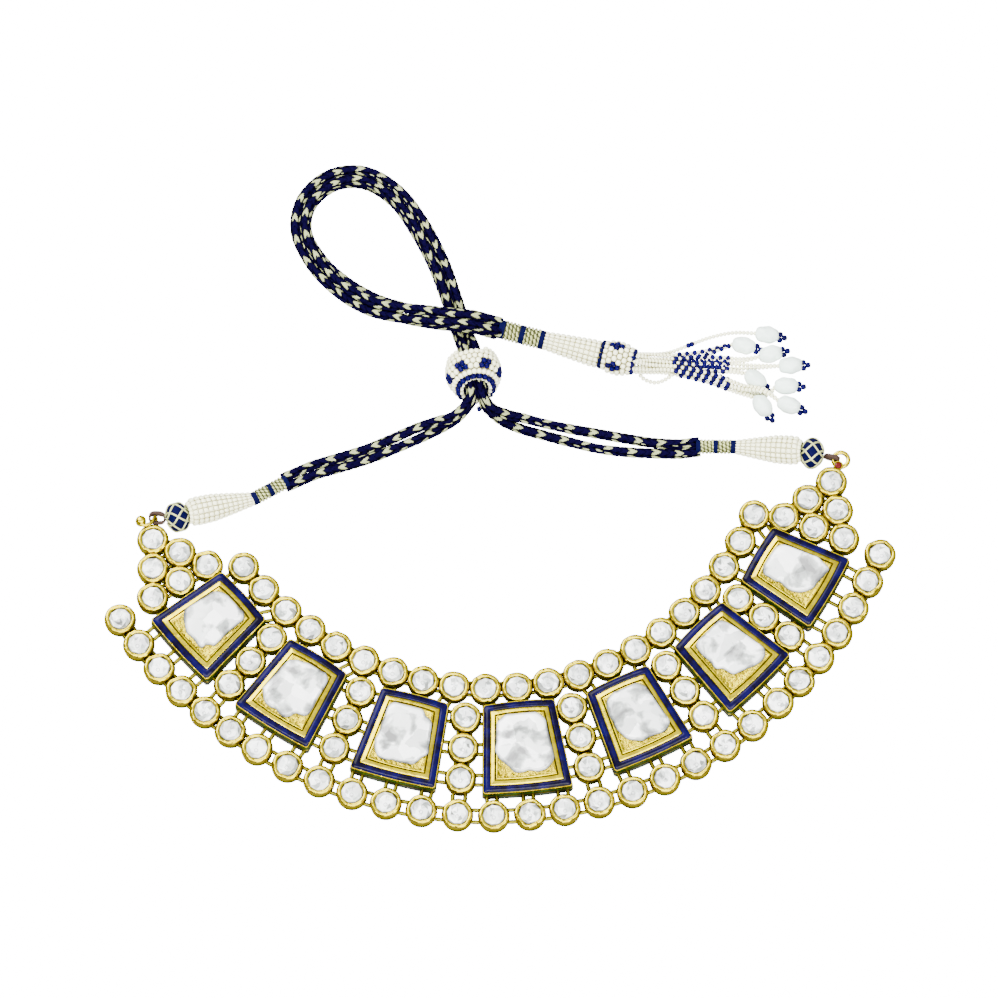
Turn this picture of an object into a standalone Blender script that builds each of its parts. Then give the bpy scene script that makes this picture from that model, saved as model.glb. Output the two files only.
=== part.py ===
"""A kundan choker lying flat with its stones up and its braided cord laid out behind it.

Seven keystone medallions lie on a curved spine. Round collets with cut stones fill the
rows along their neck side and outer side, the columns between them and a triangle at
either end. A hook and a ring at the ends hold the thread loops of two pearl sleeves, from
which four braided cords run through a beaded slider to a tassel.

The origin is the middle of the underside of the centre medallion. +X runs along the choker
to the wearer's left, +Y towards the neck and +Z up from the surface it lies on.
"""

import math
from collections import namedtuple

import bmesh
import bpy
import numpy as np
from mathutils import Matrix, Vector

MM = 0.001
CLEARANCE = 0.3 * MM  # between pieces that touch on the real choker

# Collets: round cups of gold, each with one flat cut stone
COLLET_WIDTH = 7.5 * MM
COLLET_BASE = 6.3 * MM
COLLET_RIM = 6.3 * MM
COLLET_TABLE = 3.8 * MM
COLLET_BELLY_HEIGHT = 2.6 * MM
COLLET_HEIGHT = 3.9 * MM
COLLET_STONE_RISE = 0.3 * MM
COLLET_SIDES = 10

# Links between the collets
LINK_WIRE = 0.6 * MM
LINK_WIDTH = 3.6 * MM
LINK_HEIGHT = 1.6 * MM
LINK_SIDES = 5
LINK_SOLDER = 0.4 * MM  # how deep a link's end sits in a collet's wall
HANGER_REACH = 4.2 * MM  # the longest stretch from a collet's wall to what it hangs on

# Medallions, measured over the gold edge of a medallion of share 1
MEDALLION_NECK_WIDTH = 16.9 * MM
MEDALLION_OUTER_WIDTH = 21.4 * MM
MEDALLION_DEPTH = 21.8 * MM
MEDALLION_ARCH = 0.35 * MM
MEDALLION_CORNER = 0.8 * MM
CASE_HEIGHT = 4.0 * MM
CASE_EDGE = 0.3 * MM
ENAMEL_WIDTH = 1.7 * MM
ENAMEL_DEPTH = 0.9 * MM
ENAMEL_RISE = 0.3 * MM
FRAME_SLOPE = 0.9 * MM
FRAME_RISE = 1.2 * MM
FRAME_CREST = 0.35 * MM
FIELD_DROP = 0.4 * MM
FIELD_SLOPE = 0.3 * MM
STONE_THICKNESS = 0.9 * MM
STONE_BEVEL = 1.6 * MM
STONE_SIDES = 10

# The lay of the choker: each medallion's turn in degrees, its size, and its stone's
# width and depth as shares of the field it lies on
Medallion = namedtuple("Medallion", "turn share stone_width stone_depth lean")
MEDALLIONS = [
    Medallion(-48.3, 0.95, 0.93, 0.88, 0.05),
    Medallion(-32.6, 0.97, 0.93, 0.90, -0.05),
    Medallion(-14.7, 0.99, 0.93, 0.94, 0.03),
    Medallion(5.6, 1.04, 0.95, 0.95, 0.03),
    Medallion(25.0, 0.97, 0.94, 0.92, -0.04),
    Medallion(44.9, 0.97, 0.94, 0.90, 0.04),
    Medallion(60.0, 0.92, 0.92, 0.88, -0.05),
]
# The space on either side of each column of collets
COLUMN_GAPS = [0.85 * MM, 1.7 * MM, 1.45 * MM, 1.1 * MM, 1.25 * MM, 0.55 * MM]
NECK_GAP = 1.0 * MM  # from the medallions to the collets on their neck side
OUTER_GAP = 2.5 * MM  # from the medallions to the collets on their outer side
ROW_GAP = 0.33 * MM  # between neighbours in the neck-side row
OUTER_ROW_GAP = 0.2 * MM  # the least between neighbours in the outer row
COLUMN_LINK = 0.45 * MM
UPPER_REACH = 10  # how many collets the neck-side row has on either side of its middle one
LOWER_REACH = 3.5  # how far the outer row runs, in medallions from the middle

# End triangles: rows of 3, 2 and 1 collets, turned a little from the medallion beside them
TRIANGLE_ROWS = 3
TRIANGLE_PITCH = 7.95 * MM
TRIANGLE_STEP = 6.5 * MM
TRIANGLE_GAP = 0.9 * MM
TRIANGLE_TURN = 9.5
TRIANGLE_SHIFT = 0.8 * MM

# Fastenings
HOOK_WIRE = 0.9 * MM
HOOK_BALL = 2.7 * MM
HOOK_REACH = 1.5 * MM  # from the tip collet, past the thread, to the middle of its post
HOOK_RISE = 3.4 * MM
HOOK_LENGTH = 4.4 * MM
RING_WIRE = 1.0 * MM
RING_WIDTH = 4.8 * MM
RING_STEM = 0.4 * MM
RING_TURN = 68
RING_STONE = 1.8 * MM
THREAD = 0.75 * MM
THREAD_LOOP_WIDTH = 3.1 * MM
# Each lattice ball's middle from the middle of its end's tip collet, and its train's turn
LEFT_BALL = (6.14 * MM, 5.69 * MM)
LEFT_TURN = 16.3
RIGHT_BALL = (-4.81 * MM, 7.35 * MM)
RIGHT_TURN = 173.0
BALL_WIDTH = 7.4 * MM
BALL_LENGTH = 5.6 * MM
SLEEVE_WIDTH = 7.5 * MM
SLEEVE_NECK = 3.6 * MM
SLEEVE_LENGTH = 15.8 * MM
SLEEVE_MOUTH = 6.2 * MM
SLEEVE_SHOULDER = 7.2 * MM
SLEEVE_SHOULDER_AT = 5.6 * MM
WRAP_WIDTH = 3.6 * MM
WRAP_LENGTH = 9.0 * MM
WRAP_BEND = 13.0
TURNED_SIDES = 12

# Cords: four braided strands, in two pairs and then in one bundle
CORD_DIAMETER = 2.4 * MM
STRAND_GAP = 0.2 * MM
# Each row of a route gives the middle of its strands in mm, how high their undersides lie
# over the surface, how far apart they lie as a share of their own pitch, and their roll in
# degrees: 0 for side by side and 90 for stacked
Stretch = namedtuple("Stretch", "x y lift apart roll")
LEFT_ROUTE = [
    Stretch(-52.5, 73.2, 0.1, 1.00, 0),
    Stretch(-46.0, 75.2, 0.1, 1.00, 0),
    Stretch(-39.0, 77.5, 0.1, 1.00, 0),
    Stretch(-32.5, 80.1, 0.1, 1.00, 12),
    Stretch(-26.5, 82.7, 0.1, 1.06, 32),
    Stretch(-21.0, 84.9, 0.1, 1.08, 62),
    Stretch(-17.4, 86.3, 0.9, 1.04, 84),
    Stretch(-14.4, 88.4, 3.2, 1.04, 90),
]
RIGHT_ROUTE = [
    Stretch(39.0, 78.9, 0.1, 1.00, 180),
    Stretch(32.6, 79.1, 0.1, 1.08, 180),
    Stretch(26.0, 79.8, 0.1, 1.35, 180),
    Stretch(19.0, 80.9, 0.1, 1.50, 180),
    Stretch(12.0, 82.4, 0.1, 1.30, 178),
    Stretch(5.6, 83.9, 0.1, 1.12, 168),
    Stretch(0.0, 85.3, 0.1, 1.10, 145),
    Stretch(-4.6, 86.6, 0.7, 1.10, 116),
    Stretch(-8.4, 88.3, 3.0, 1.08, 92),
]
BUNDLE_ROUTE = [
    Stretch(-11.55, 91.1, 4.85, 1.00, 0),
    Stretch(-12.3, 96.4, 4.9, 1.00, 0),
    Stretch(-13.05, 101.9, 4.75, 1.00, 0),
    Stretch(-14.3, 106.6, 1.1, 1.00, 0),
    Stretch(-15.8, 111.4, 0.1, 1.00, 0),
    Stretch(-18.2, 119.2, 0.1, 1.00, 0),
    Stretch(-21.3, 128.0, 0.1, 1.00, 6),
    Stretch(-26.0, 137.6, 0.1, 1.00, 6),
    Stretch(-31.9, 146.1, 0.1, 1.00, 0),
    Stretch(-39.8, 151.2, 0.1, 1.00, 0),
    Stretch(-48.2, 150.6, 0.1, 1.00, 0),
    Stretch(-54.6, 144.8, 0.1, 1.00, 0),
    Stretch(-56.0, 136.6, 0.1, 1.00, 8),
    Stretch(-52.0, 128.2, 0.1, 1.02, 24),
    Stretch(-45.5, 121.4, 0.1, 1.04, 42),
    Stretch(-38.0, 116.8, 0.1, 1.04, 42),
    Stretch(-30.6, 113.9, 2.2, 1.04, 24),
    Stretch(-24.6, 111.9, 5.2, 1.02, 4),
    Stretch(-18.8, 110.8, 6.2, 1.00, 0),
    Stretch(-13.0, 110.3, 6.0, 1.00, 0),
    Stretch(-7.3, 109.8, 3.2, 1.00, 0),
]

# Slider and tassel
SLIDER_WIDTH = 14.6 * MM
SLIDER_LENGTH = 10.9 * MM
SLIDER_MOUTH = 9.3 * MM
SLIDER_MIDDLE = (-12.3 * MM, 96.4 * MM)
SLIDER_TURN = 8.0
SLIDER_FLARE = 0.8 * MM
TASSEL_WRAP_WIDTH = 5.0 * MM
TASSEL_WRAP_LENGTH = 10.8 * MM
TASSEL_START = (-5.6 * MM, 109.4 * MM, 5.4 * MM)
TASSEL_TURN = -14.0
TASSEL_SLEEVE_WIDTH = 7.2 * MM
TASSEL_SLEEVE_NECK = 4.6 * MM
TASSEL_SLEEVE_LENGTH = 14.6 * MM
TASSEL_CAP_WIDTH = 8.4 * MM
TASSEL_CAP_LENGTH = 8.4 * MM
TASSEL_CAP_MOUTH = 6.0 * MM
BEAD_STRAND = 1.3 * MM
PEARL_WIDTH = 4.3 * MM
PEARL_LENGTH = 5.9 * MM
PEARL_SIDES = 10
STRAND_POINTS = 8
# Each strand of the tassel: its start in the mouth of the cap as shares of the mouth, the
# points that it passes in mm, and where its pearl lies and how it is turned
Drop = namedtuple("Drop", "across up route x y turn")
DROPS = [
    Drop(1.00, 0.00, ((36, 105.6, 0.8), (46, 108.2, 0.8), (53, 109.9, 1.6)), 61.6, 109.1, -8),
    Drop(0.62, 0.78, ((36, 104.1, 1.7), (44.5, 105.2, 0.8), (50, 106.5, 1.6)), 55.7, 106.2, -12),
    Drop(0.62, -0.78, ((36, 102.7, 0.8), (46, 103.2, 0.8), (55, 102.6, 1.3)), 62.4, 103.9, 14),
    Drop(0.00, 0.00, ((36, 101.2, 0.9), (46, 101.2, 0.9), (57, 100.8, 1.2)), 67.4, 100.9, 4),
    Drop(-0.22, 0.97, ((36, 100.0, 2.3), (47, 99.8, 0.9), (52, 99.3, 1.4)), 58.5, 97.1, -40),
    Drop(-0.22, -0.97, ((36, 98.9, 0.8), (47, 97.3, 0.8), (54.5, 95.2, 0.8), (60.4, 93.2, 0.9)),
         66.2, 95.4, 0),
    Drop(-0.90, -0.43, ((36, 97.5, 0.8), (47, 95.7, 0.8), (54, 93.6, 0.9)), 60.2, 90.1, -56),
    Drop(-0.90, 0.43, ((36, 98.2, 2.3), (47, 96.6, 2.2), (54.5, 94.5, 2.3), (60.4, 93.7, 3.7)),
         66.8, 90.3, -20),
]


def finish(name, colour, roughness, metallic):
    """A material with a plain colour, roughness and metallic value."""
    made = bpy.data.materials.new(name)
    made.use_nodes = True
    shader = made.node_tree.nodes["Principled BSDF"]
    shader.inputs["Base Color"].default_value = (*colour, 1.0)
    shader.inputs["Roughness"].default_value = roughness
    shader.inputs["Metallic"].default_value = metallic
    return made


def clear_scene():
    """Remove every object that the new file starts with."""
    for old in list(bpy.data.objects):
        bpy.data.objects.remove(old)


def add_object(name, bm, material):
    """Turn a bmesh into a named object with its faces pointing out."""
    bmesh.ops.remove_doubles(bm, verts=bm.verts, dist=0.001 * MM)
    bmesh.ops.recalc_face_normals(bm, faces=bm.faces)
    mesh = bpy.data.meshes.new(name)
    bm.to_mesh(mesh)
    bm.free()
    mesh.materials.append(material)
    made = bpy.data.objects.new(name, mesh)
    bpy.context.scene.collection.objects.link(made)
    return made


def skin(bm, rings, closed=False):
    """Join rings of equally many points by quads, and cap both ends or close the ring of rings."""
    rows = [[bm.verts.new(point) for point in ring] for ring in rings]
    pairs = list(zip(rows, rows[1:]))
    if closed:
        pairs.append((rows[-1], rows[0]))
    for low, high in pairs:
        count = len(low)
        for i in range(count):
            j = (i + 1) % count
            bm.faces.new((low[i], low[j], high[j], high[i]))
    if not closed:
        bm.faces.new(list(reversed(rows[0])))
        bm.faces.new(rows[-1])


def circle(radius, height, sides, phase=0.5):
    """Points of a regular ring round the Z axis."""
    step = 2 * math.pi / sides
    angles = [(i + phase) * step for i in range(sides)]
    return [(radius * math.cos(a), radius * math.sin(a), height) for a in angles]


def turned(name, profile, sides, material, place):
    """A solid turned round Z from (radius, height) pairs, then set in its place."""
    bm = bmesh.new()
    skin(bm, [circle(r, h, sides) for r, h in profile])
    bm.transform(place)
    return add_object(name, bm, material)


def turned_ring(name, profile, sides, material, place):
    """A ring turned round Z from a closed profile of (radius, height) pairs."""
    bm = bmesh.new()
    skin(bm, [circle(r, h, sides) for r, h in profile], closed=True)
    bm.transform(place)
    return add_object(name, bm, material)


def along(start, direction):
    """The placement that stands a turned solid's Z axis on start, pointing along direction."""
    lean = Vector((0, 0, 1)).rotation_difference(Vector(direction).normalized())
    return Matrix.Translation(start) @ lean.to_matrix().to_4x4()


def heading(turn, slope=0.0):
    """The direction at this turn from +X in degrees, climbing at this slope in degrees."""
    flat = math.cos(math.radians(slope))
    across = math.radians(turn)
    climb = math.sin(math.radians(slope))
    return Vector((flat * math.cos(across), flat * math.sin(across), climb))


def rod(start, end, diameter, sides):
    """A straight wire between two points, as rings for skin."""
    run = Vector(end) - Vector(start)
    place = along(start, run)
    radius = diameter / 2
    rings = [circle(radius, 0.0, sides), circle(radius, run.length, sides)]
    return [[place @ Vector(p) for p in ring] for ring in rings]


def swept(points, diameter, sides, closed=False):
    """A wire bent through points, as rings for skin, each ring square to the wire."""
    line = [Vector(p) for p in points]
    count = len(line)
    rings = []
    side = None
    for i, point in enumerate(line):
        before = line[(i - 1) % count] if closed or i else line[0]
        after = line[(i + 1) % count] if closed or i < count - 1 else line[-1]
        run = (after - before).normalized()
        if side is None:
            side = run.orthogonal().normalized()
        side = (side - run * side.dot(run)).normalized()
        other = run.cross(side)
        ring = []
        for x, y, _ in circle(diameter / 2, 0.0, sides):
            ring.append(point + side * x + other * y)
        rings.append(ring)
    return rings


def fused(name, shapes, material):
    """One solid from several closed shapes that run into each other, by Boolean union."""
    helpers = bpy.data.collections.new(name + "_shapes")
    for i, rings in enumerate(shapes[1:]):
        bm = bmesh.new()
        skin(bm, rings)
        helper = add_object(f"{name}_shape_{i}", bm, material)
        bpy.context.scene.collection.objects.unlink(helper)
        helpers.objects.link(helper)
        helper.hide_render = True
        helper.display_type = "WIRE"
    bpy.context.scene.collection.children.link(helpers)
    bm = bmesh.new()
    skin(bm, shapes[0])
    body = add_object(name, bm, material)
    union = body.modifiers.new("Union", "BOOLEAN")
    union.operation = "UNION"
    union.operand_type = "COLLECTION"
    union.collection = helpers
    union.solver = "EXACT"
    return body


class Spine:
    """The curve through the medallions' middles, as arrays of fine steps.

    Its turn changes evenly from one medallion to the next, so each stretch is an arc, and
    it runs on past the end medallions with the same bend. Units count medallions from the
    centre one.
    """

    STEPS = 80

    def __init__(self):
        middle = len(MEDALLIONS) // 2
        widths = [mean_width(m.share) for m in MEDALLIONS]
        pitches = []
        for k, gap in enumerate(COLUMN_GAPS):
            pitches.append((widths[k] + widths[k + 1]) / 2 + COLLET_WIDTH + 2 * gap)
        turns = np.radians([m.turn for m in MEDALLIONS])
        units = np.arange(-middle - 1, middle + 2)
        turns = np.concatenate([
            [2 * turns[0] - turns[1]],
            turns,
            [2 * turns[-1] - turns[-2]],
        ])
        self.unit = np.linspace(units[0], units[-1], (len(units) - 1) * self.STEPS + 1)
        self.turn = np.interp(self.unit, units, turns)
        mid_unit = (self.unit[1:] + self.unit[:-1]) / 2
        stretch = np.floor(mid_unit).astype(int) + middle
        stretch = np.clip(stretch, 0, len(pitches) - 1)
        run = np.array(pitches)[stretch] / self.STEPS
        mid_turn = (self.turn[1:] + self.turn[:-1]) / 2
        self.x = np.concatenate([[0], np.cumsum(run * np.cos(mid_turn))])
        self.y = np.concatenate([[0], np.cumsum(run * np.sin(mid_turn))])
        centre = len(self.unit) // 2
        self.x -= self.x[centre]
        self.y -= self.y[centre]

    def offset(self, toward_neck):
        """The line at this distance from the spine, with its length from the middle."""
        x = self.x - toward_neck * np.sin(self.turn)
        y = self.y + toward_neck * np.cos(self.turn)
        length = np.concatenate([[0], np.cumsum(np.hypot(np.diff(x), np.diff(y)))])
        length -= length[len(length) // 2]
        return x, y, length

    def at(self, unit, toward_neck=0.0):
        """The place and turn at a unit, this far towards the neck."""
        x, y, _ = self.offset(toward_neck)
        place = Vector((np.interp(unit, self.unit, x), np.interp(unit, self.unit, y), 0))
        return place, float(np.interp(unit, self.unit, self.turn))

    def unit_at(self, length, toward_neck):
        """The unit at this length along an offset line."""
        _, _, lengths = self.offset(toward_neck)
        return float(np.interp(length, lengths, self.unit))


def mean_width(share):
    return share * (MEDALLION_NECK_WIDTH + MEDALLION_OUTER_WIDTH) / 2


def keystone(share, inset):
    """A medallion's outline at this inset, anticlockwise: clipped corners and two arched sides."""
    neck = share * MEDALLION_NECK_WIDTH / 2
    outer = share * MEDALLION_OUTER_WIDTH / 2
    half = share * MEDALLION_DEPTH / 2
    lean = (outer - neck) / (2 * half)
    sideways = inset * math.hypot(1, lean)
    neck_y = half - inset
    outer_y = inset - half
    neck_x = neck + lean * inset - sideways
    outer_x = outer - lean * inset - sideways
    clip = max(MEDALLION_CORNER - 0.4 * inset, 0.2 * MM)
    arch = MEDALLION_ARCH
    right = [
        (outer_x - clip, outer_y),
        (outer_x - lean * clip, outer_y + clip),
        (neck_x + lean * clip, neck_y - clip),
        (neck_x - clip, neck_y),
    ]
    left = [(-x, y) for x, y in reversed(right)]
    return right + [(0.0, neck_y + arch)] + left + [(0.0, outer_y - arch)]


def frame_of(place, turn):
    """The matrix of a piece laid at this place with this turn in radians."""
    return Matrix.Translation(place) @ Matrix.Rotation(turn, 4, "Z")


def field_inset():
    frame = CASE_EDGE + ENAMEL_WIDTH + FRAME_SLOPE + FRAME_CREST
    return frame + FIELD_SLOPE


def field_height():
    return CASE_HEIGHT + ENAMEL_RISE + FRAME_RISE - FIELD_DROP


def medallion_case(name, share, place, material):
    """Gold case: wall, edge, channel for the enamel, raised frame and sunk field."""
    floor = CASE_HEIGHT - ENAMEL_DEPTH
    foot = CASE_EDGE + ENAMEL_WIDTH
    crest = CASE_HEIGHT + ENAMEL_RISE + FRAME_RISE
    profile = [
        (0.0, 0.0),
        (0.0, CASE_HEIGHT),
        (CASE_EDGE, CASE_HEIGHT),
        (CASE_EDGE, floor),
        (foot, floor),
        (foot, CASE_HEIGHT + ENAMEL_RISE),
        (foot + FRAME_SLOPE, crest),
        (foot + FRAME_SLOPE + FRAME_CREST, crest),
        (field_inset(), field_height()),
    ]
    bm = bmesh.new()
    skin(bm, [[(x, y, z) for x, y in keystone(share, inset)] for inset, z in profile])
    bm.transform(place)
    return add_object(name, bm, material)


def medallion_enamel(name, share, place, material):
    """Blue enamel border, set in the channel of the case."""
    bottom = CASE_HEIGHT - ENAMEL_DEPTH + CLEARANCE
    outer = CASE_EDGE + CLEARANCE
    inner = CASE_EDGE + ENAMEL_WIDTH - CLEARANCE
    profile = [
        (outer, bottom),
        (outer, CASE_HEIGHT),
        (inner, CASE_HEIGHT + ENAMEL_RISE),
        (inner, bottom),
    ]
    bm = bmesh.new()
    rings = [[(x, y, z) for x, y in keystone(share, inset)] for inset, z in profile]
    skin(bm, rings, closed=True)
    bm.transform(place)
    return add_object(name, bm, material)


def medallion_stone(name, medallion, place, material):
    """Flat uncut stone with an uneven rounded outline, a bevel all round and a table."""
    inset = field_inset()
    neck = medallion.share * MEDALLION_NECK_WIDTH / 2 - inset
    outer = medallion.share * MEDALLION_OUTER_WIDTH / 2 - inset
    half_width = medallion.stone_width * (neck + outer) / 2
    half_depth = medallion.stone_depth * (medallion.share * MEDALLION_DEPTH / 2 - inset)
    taper = (outer - neck) / (outer + neck)

    def outline(shrink, height):
        ring = []
        for i in range(STONE_SIDES):
            a = (i + 0.5) * 2 * math.pi / STONE_SIDES
            uneven = 1 + medallion.lean * math.cos(3 * a)
            square = (abs(math.cos(a)) ** 3 + abs(math.sin(a)) ** 3) ** (-1 / 3)
            x = (half_width - shrink) * uneven * square * math.cos(a)
            y = (half_depth - shrink) * uneven * square * math.sin(a)
            ring.append((x * (1 - taper * y / half_depth), y, height))
        return ring

    bottom = field_height() + CLEARANCE
    bm = bmesh.new()
    skin(bm, [
        outline(0.0, bottom),
        outline(0.0, bottom + STONE_THICKNESS / 3),
        outline(STONE_BEVEL, bottom + STONE_THICKNESS),
    ])
    bm.transform(place)
    return add_object(name, bm, material)


def collet(centre, turn):
    """A collet with its stone, as rings for skin: a tapered cup, a rim and a cut stone."""
    profile = [
        (COLLET_BASE / 2, 0.0),
        (COLLET_WIDTH / 2, COLLET_BELLY_HEIGHT),
        (COLLET_RIM / 2, COLLET_HEIGHT),
        (COLLET_TABLE / 2, COLLET_HEIGHT + COLLET_STONE_RISE),
    ]
    place = frame_of(centre, turn)
    rings = []
    for radius, height in profile:
        ring = circle(radius, height, COLLET_SIDES)
        rings.append([place @ Vector(p) for p in ring])
    return rings


def wall_radius():
    """The radius of a collet's wall at the height of its links, over the flats."""
    rise = LINK_HEIGHT / COLLET_BELLY_HEIGHT
    radius = (COLLET_BASE + (COLLET_WIDTH - COLLET_BASE) * rise) / 2
    return radius * math.cos(math.pi / COLLET_SIDES)


def link(a, b, bars):
    """The bars of the wire ring that joins two collets, as rings for skin."""
    run = (b - a).normalized()
    side = Vector((-run.y, run.x, 0))
    up = Vector((0, 0, LINK_HEIGHT))
    spread = LINK_WIDTH - LINK_WIRE
    shapes = []
    for i in range(bars):
        across = spread * (i / (bars - 1) - 0.5) if bars > 1 else 0.0
        chord = math.sqrt(wall_radius() ** 2 - across**2) - LINK_SOLDER
        start = a + side * across + run * chord + up
        end = b + side * across - run * chord + up
        shapes.append(rod(start, end, LINK_WIRE, LINK_SIDES))
    return shapes


def hanger(centre, target):
    """The wire from a collet towards the wall that it hangs on, ending just clear of it."""
    run = target - centre
    reach = run.length - wall_radius()
    if reach > HANGER_REACH or reach < 2 * CLEARANCE:
        return []
    run.normalize()
    up = Vector((0, 0, LINK_HEIGHT))
    start = centre + run * (wall_radius() - LINK_SOLDER) + up
    return [rod(start, target - run * CLEARANCE + up, LINK_WIRE, LINK_SIDES)]


def nearest_on_wall(centre, share, place, side):
    """The point nearest to a collet on one side of a medallion, kept off its corners."""
    local = place.inverted() @ centre
    neck = share * MEDALLION_NECK_WIDTH / 2
    outer = share * MEDALLION_OUTER_WIDTH / 2
    half = share * MEDALLION_DEPTH / 2
    keep = 2 * MEDALLION_CORNER
    if side in ("neck", "outer"):
        width = neck if side == "neck" else outer
        x = max(keep - width, min(width - keep, local.x))
        arch = MEDALLION_ARCH * (1 - abs(x) / width)
        y = half + arch if side == "neck" else -half - arch
        return place @ Vector((x, y, 0))
    sign = 1 if side == "right" else -1
    low = Vector((sign * outer, -half, 0))
    high = Vector((sign * neck, half, 0))
    run = high - low
    share_along = (local - low).dot(run) / run.length_squared
    margin = keep / run.length
    share_along = max(margin, min(1 - margin, share_along))
    return place @ (low + run * share_along)


def chain_of(centres, turns, bars):
    """Collets in a row with the links between neighbours."""
    shapes = [collet(c, t) for c, t in zip(centres, turns)]
    for a, b in zip(centres, centres[1:]):
        shapes += link(a, b, bars)
    return shapes


def neck_side():
    """How far the neck-side row's middles lie from the spine."""
    return MEDALLION_DEPTH / 2 + NECK_GAP + COLLET_WIDTH / 2


def outer_side():
    return MEDALLION_DEPTH / 2 + OUTER_GAP + COLLET_WIDTH / 2


def make_rows(spine, places, gold):
    """The neck-side row and the outer row, each one string that hangs on the medallions."""
    reach = neck_side()
    pitch = COLLET_WIDTH + ROW_GAP
    steps = range(-UPPER_REACH, UPPER_REACH + 1)
    spots = [spine.unit_at(i * pitch, reach) for i in steps]
    upper = [spine.at(unit, reach) for unit in spots]
    shapes = chain_of([p for p, _ in upper], [t for _, t in upper], 1)
    for k, place in enumerate(places):
        near = min((p for p, _ in upper), key=lambda p: abs((place.inverted() @ p).x))
        shapes += row_hanger(near, k, places, "neck")
    fused("upper_row", shapes, gold)

    reach = outer_side()
    lengths = spine.offset(-reach)[2]
    ends = np.interp(np.arange(-3, 4), spine.unit, lengths)
    per_unit = int(np.diff(ends).min() / (COLLET_WIDTH + OUTER_ROW_GAP))
    last = int(LOWER_REACH * per_unit)
    spots = [i / per_unit for i in range(-last, last + 1)]
    lower = [spine.at(unit, -reach) for unit in spots]
    shapes = chain_of([p for p, _ in lower], [t for _, t in lower], 1)
    for k, place in enumerate(places):
        near = min((p for p, _ in lower), key=lambda p: abs((place.inverted() @ p).x))
        shapes += row_hanger(near, k, places, "outer")
    for k in range(len(COLUMN_GAPS)):
        foot = column_centres(spine, k)[-1]
        centre = min((p for p, _ in lower), key=lambda p: (p - foot).length)
        run = (centre - foot).normalized()
        shapes += hanger(centre, foot + run * wall_radius() / math.cos(math.pi / COLLET_SIDES))
    fused("lower_row", shapes, gold)


def row_hanger(centre, k, places, side):
    """The hanger from a row's collet to the medallion that it lies beside."""
    target = nearest_on_wall(centre, MEDALLIONS[k].share, places[k], side)
    return hanger(centre, target)


def column_centres(spine, k):
    """The collets of a column from the neck side to the outer side."""
    middle = len(MEDALLIONS) // 2
    pitch = COLLET_WIDTH + COLUMN_LINK
    count = int((neck_side() + outer_side()) / pitch) - 1
    unit = k + 0.5 - middle
    return [spine.at(unit, (0.5 * (count - 1) - i) * pitch)[0] for i in range(count)]


def make_columns(spine, places, gold):
    """The columns, each hung by its middle collet on the medallion at either side."""
    middle = len(MEDALLIONS) // 2
    for k in range(len(COLUMN_GAPS)):
        centres = column_centres(spine, k)
        turn = spine.at(k + 0.5 - middle)[1]
        shapes = chain_of(centres, [turn] * len(centres), 1)
        centre = centres[len(centres) // 2]
        left = nearest_on_wall(centre, MEDALLIONS[k].share, places[k], "right")
        right = nearest_on_wall(centre, MEDALLIONS[k + 1].share, places[k + 1], "left")
        shapes += hanger(centre, left) + hanger(centre, right)
        fused(f"column_{k + 1}", shapes, gold)


def triangle(share, place, side):
    """The rows of an end triangle, from the medallion outwards: lists of middles."""
    sign = 1 if side == "right" else -1
    half_width = mean_width(share) / 2
    root = Vector((sign * half_width, TRIANGLE_SHIFT, 0))
    tilt = Matrix.Rotation(math.radians(-sign * -TRIANGLE_TURN), 4, "Z")
    rows = []
    for i in range(TRIANGLE_ROWS):
        count = TRIANGLE_ROWS - i
        out = sign * (TRIANGLE_GAP + COLLET_WIDTH / 2 + i * TRIANGLE_STEP)
        row = []
        for j in range(count):
            across = (0.5 * (count - 1) - j) * TRIANGLE_PITCH
            local = root + tilt @ Vector((out, across, 0))
            row.append(place @ local)
        rows.append(row)
    return rows


def triangle_shapes(share, place, turn, side):
    """The collets, links and hangers of an end triangle, with the middle of its tip."""
    rows = triangle(share, place, side)
    shapes = []
    for row in rows:
        shapes += [collet(centre, turn) for centre in row]
    for inner, outer in zip(rows, rows[1:]):
        for i, centre in enumerate(outer):
            shapes += link(inner[i], centre, 1) + link(inner[i + 1], centre, 1)
    for centre in rows[0]:
        shapes += hanger(centre, nearest_on_wall(centre, share, place, side))
    return shapes, rows[-1][0]


def ball(middle, width, length, sides, direction):
    """A round or oval bead with its long axis along direction, as rings for skin."""
    rings = []
    place = along(middle, direction)
    for latitude in (-68, -34, 0, 34, 68):
        a = math.radians(latitude)
        ring = circle(width / 2 * math.cos(a), length / 2 * math.sin(a), sides)
        rings.append([place @ Vector(p) for p in ring])
    return rings


def racetrack(start, direction, across, length, width):
    """A closed loop with round ends: its middle line, from start along direction."""
    radius = width / 2
    straight = length - width
    points = []
    for base, flip in ((straight + radius, 1), (radius, -1)):
        for angle in (-60, 0, 60):
            a = math.radians(angle)
            run = base + flip * radius * math.cos(a)
            points.append(start + direction * run + across * (flip * radius * math.sin(a)))
    return points


def thread_loop(name, start, middle, turn, side, material):
    """A closed loop of dark thread, from start to just short of the ball with this middle."""
    end = middle - heading(turn) * (BALL_LENGTH / 2 + THREAD / 2 + 1.3 * CLEARANCE)
    end.z = start.z
    run = end - start
    direction = run.normalized()
    across = side - direction * side.dot(direction)
    bm = bmesh.new()
    line = racetrack(start, direction, across, run.length, THREAD_LOOP_WIDTH - THREAD)
    skin(bm, swept(line, THREAD, LINK_SIDES, closed=True), closed=True)
    return add_object(name, bm, material)


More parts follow.
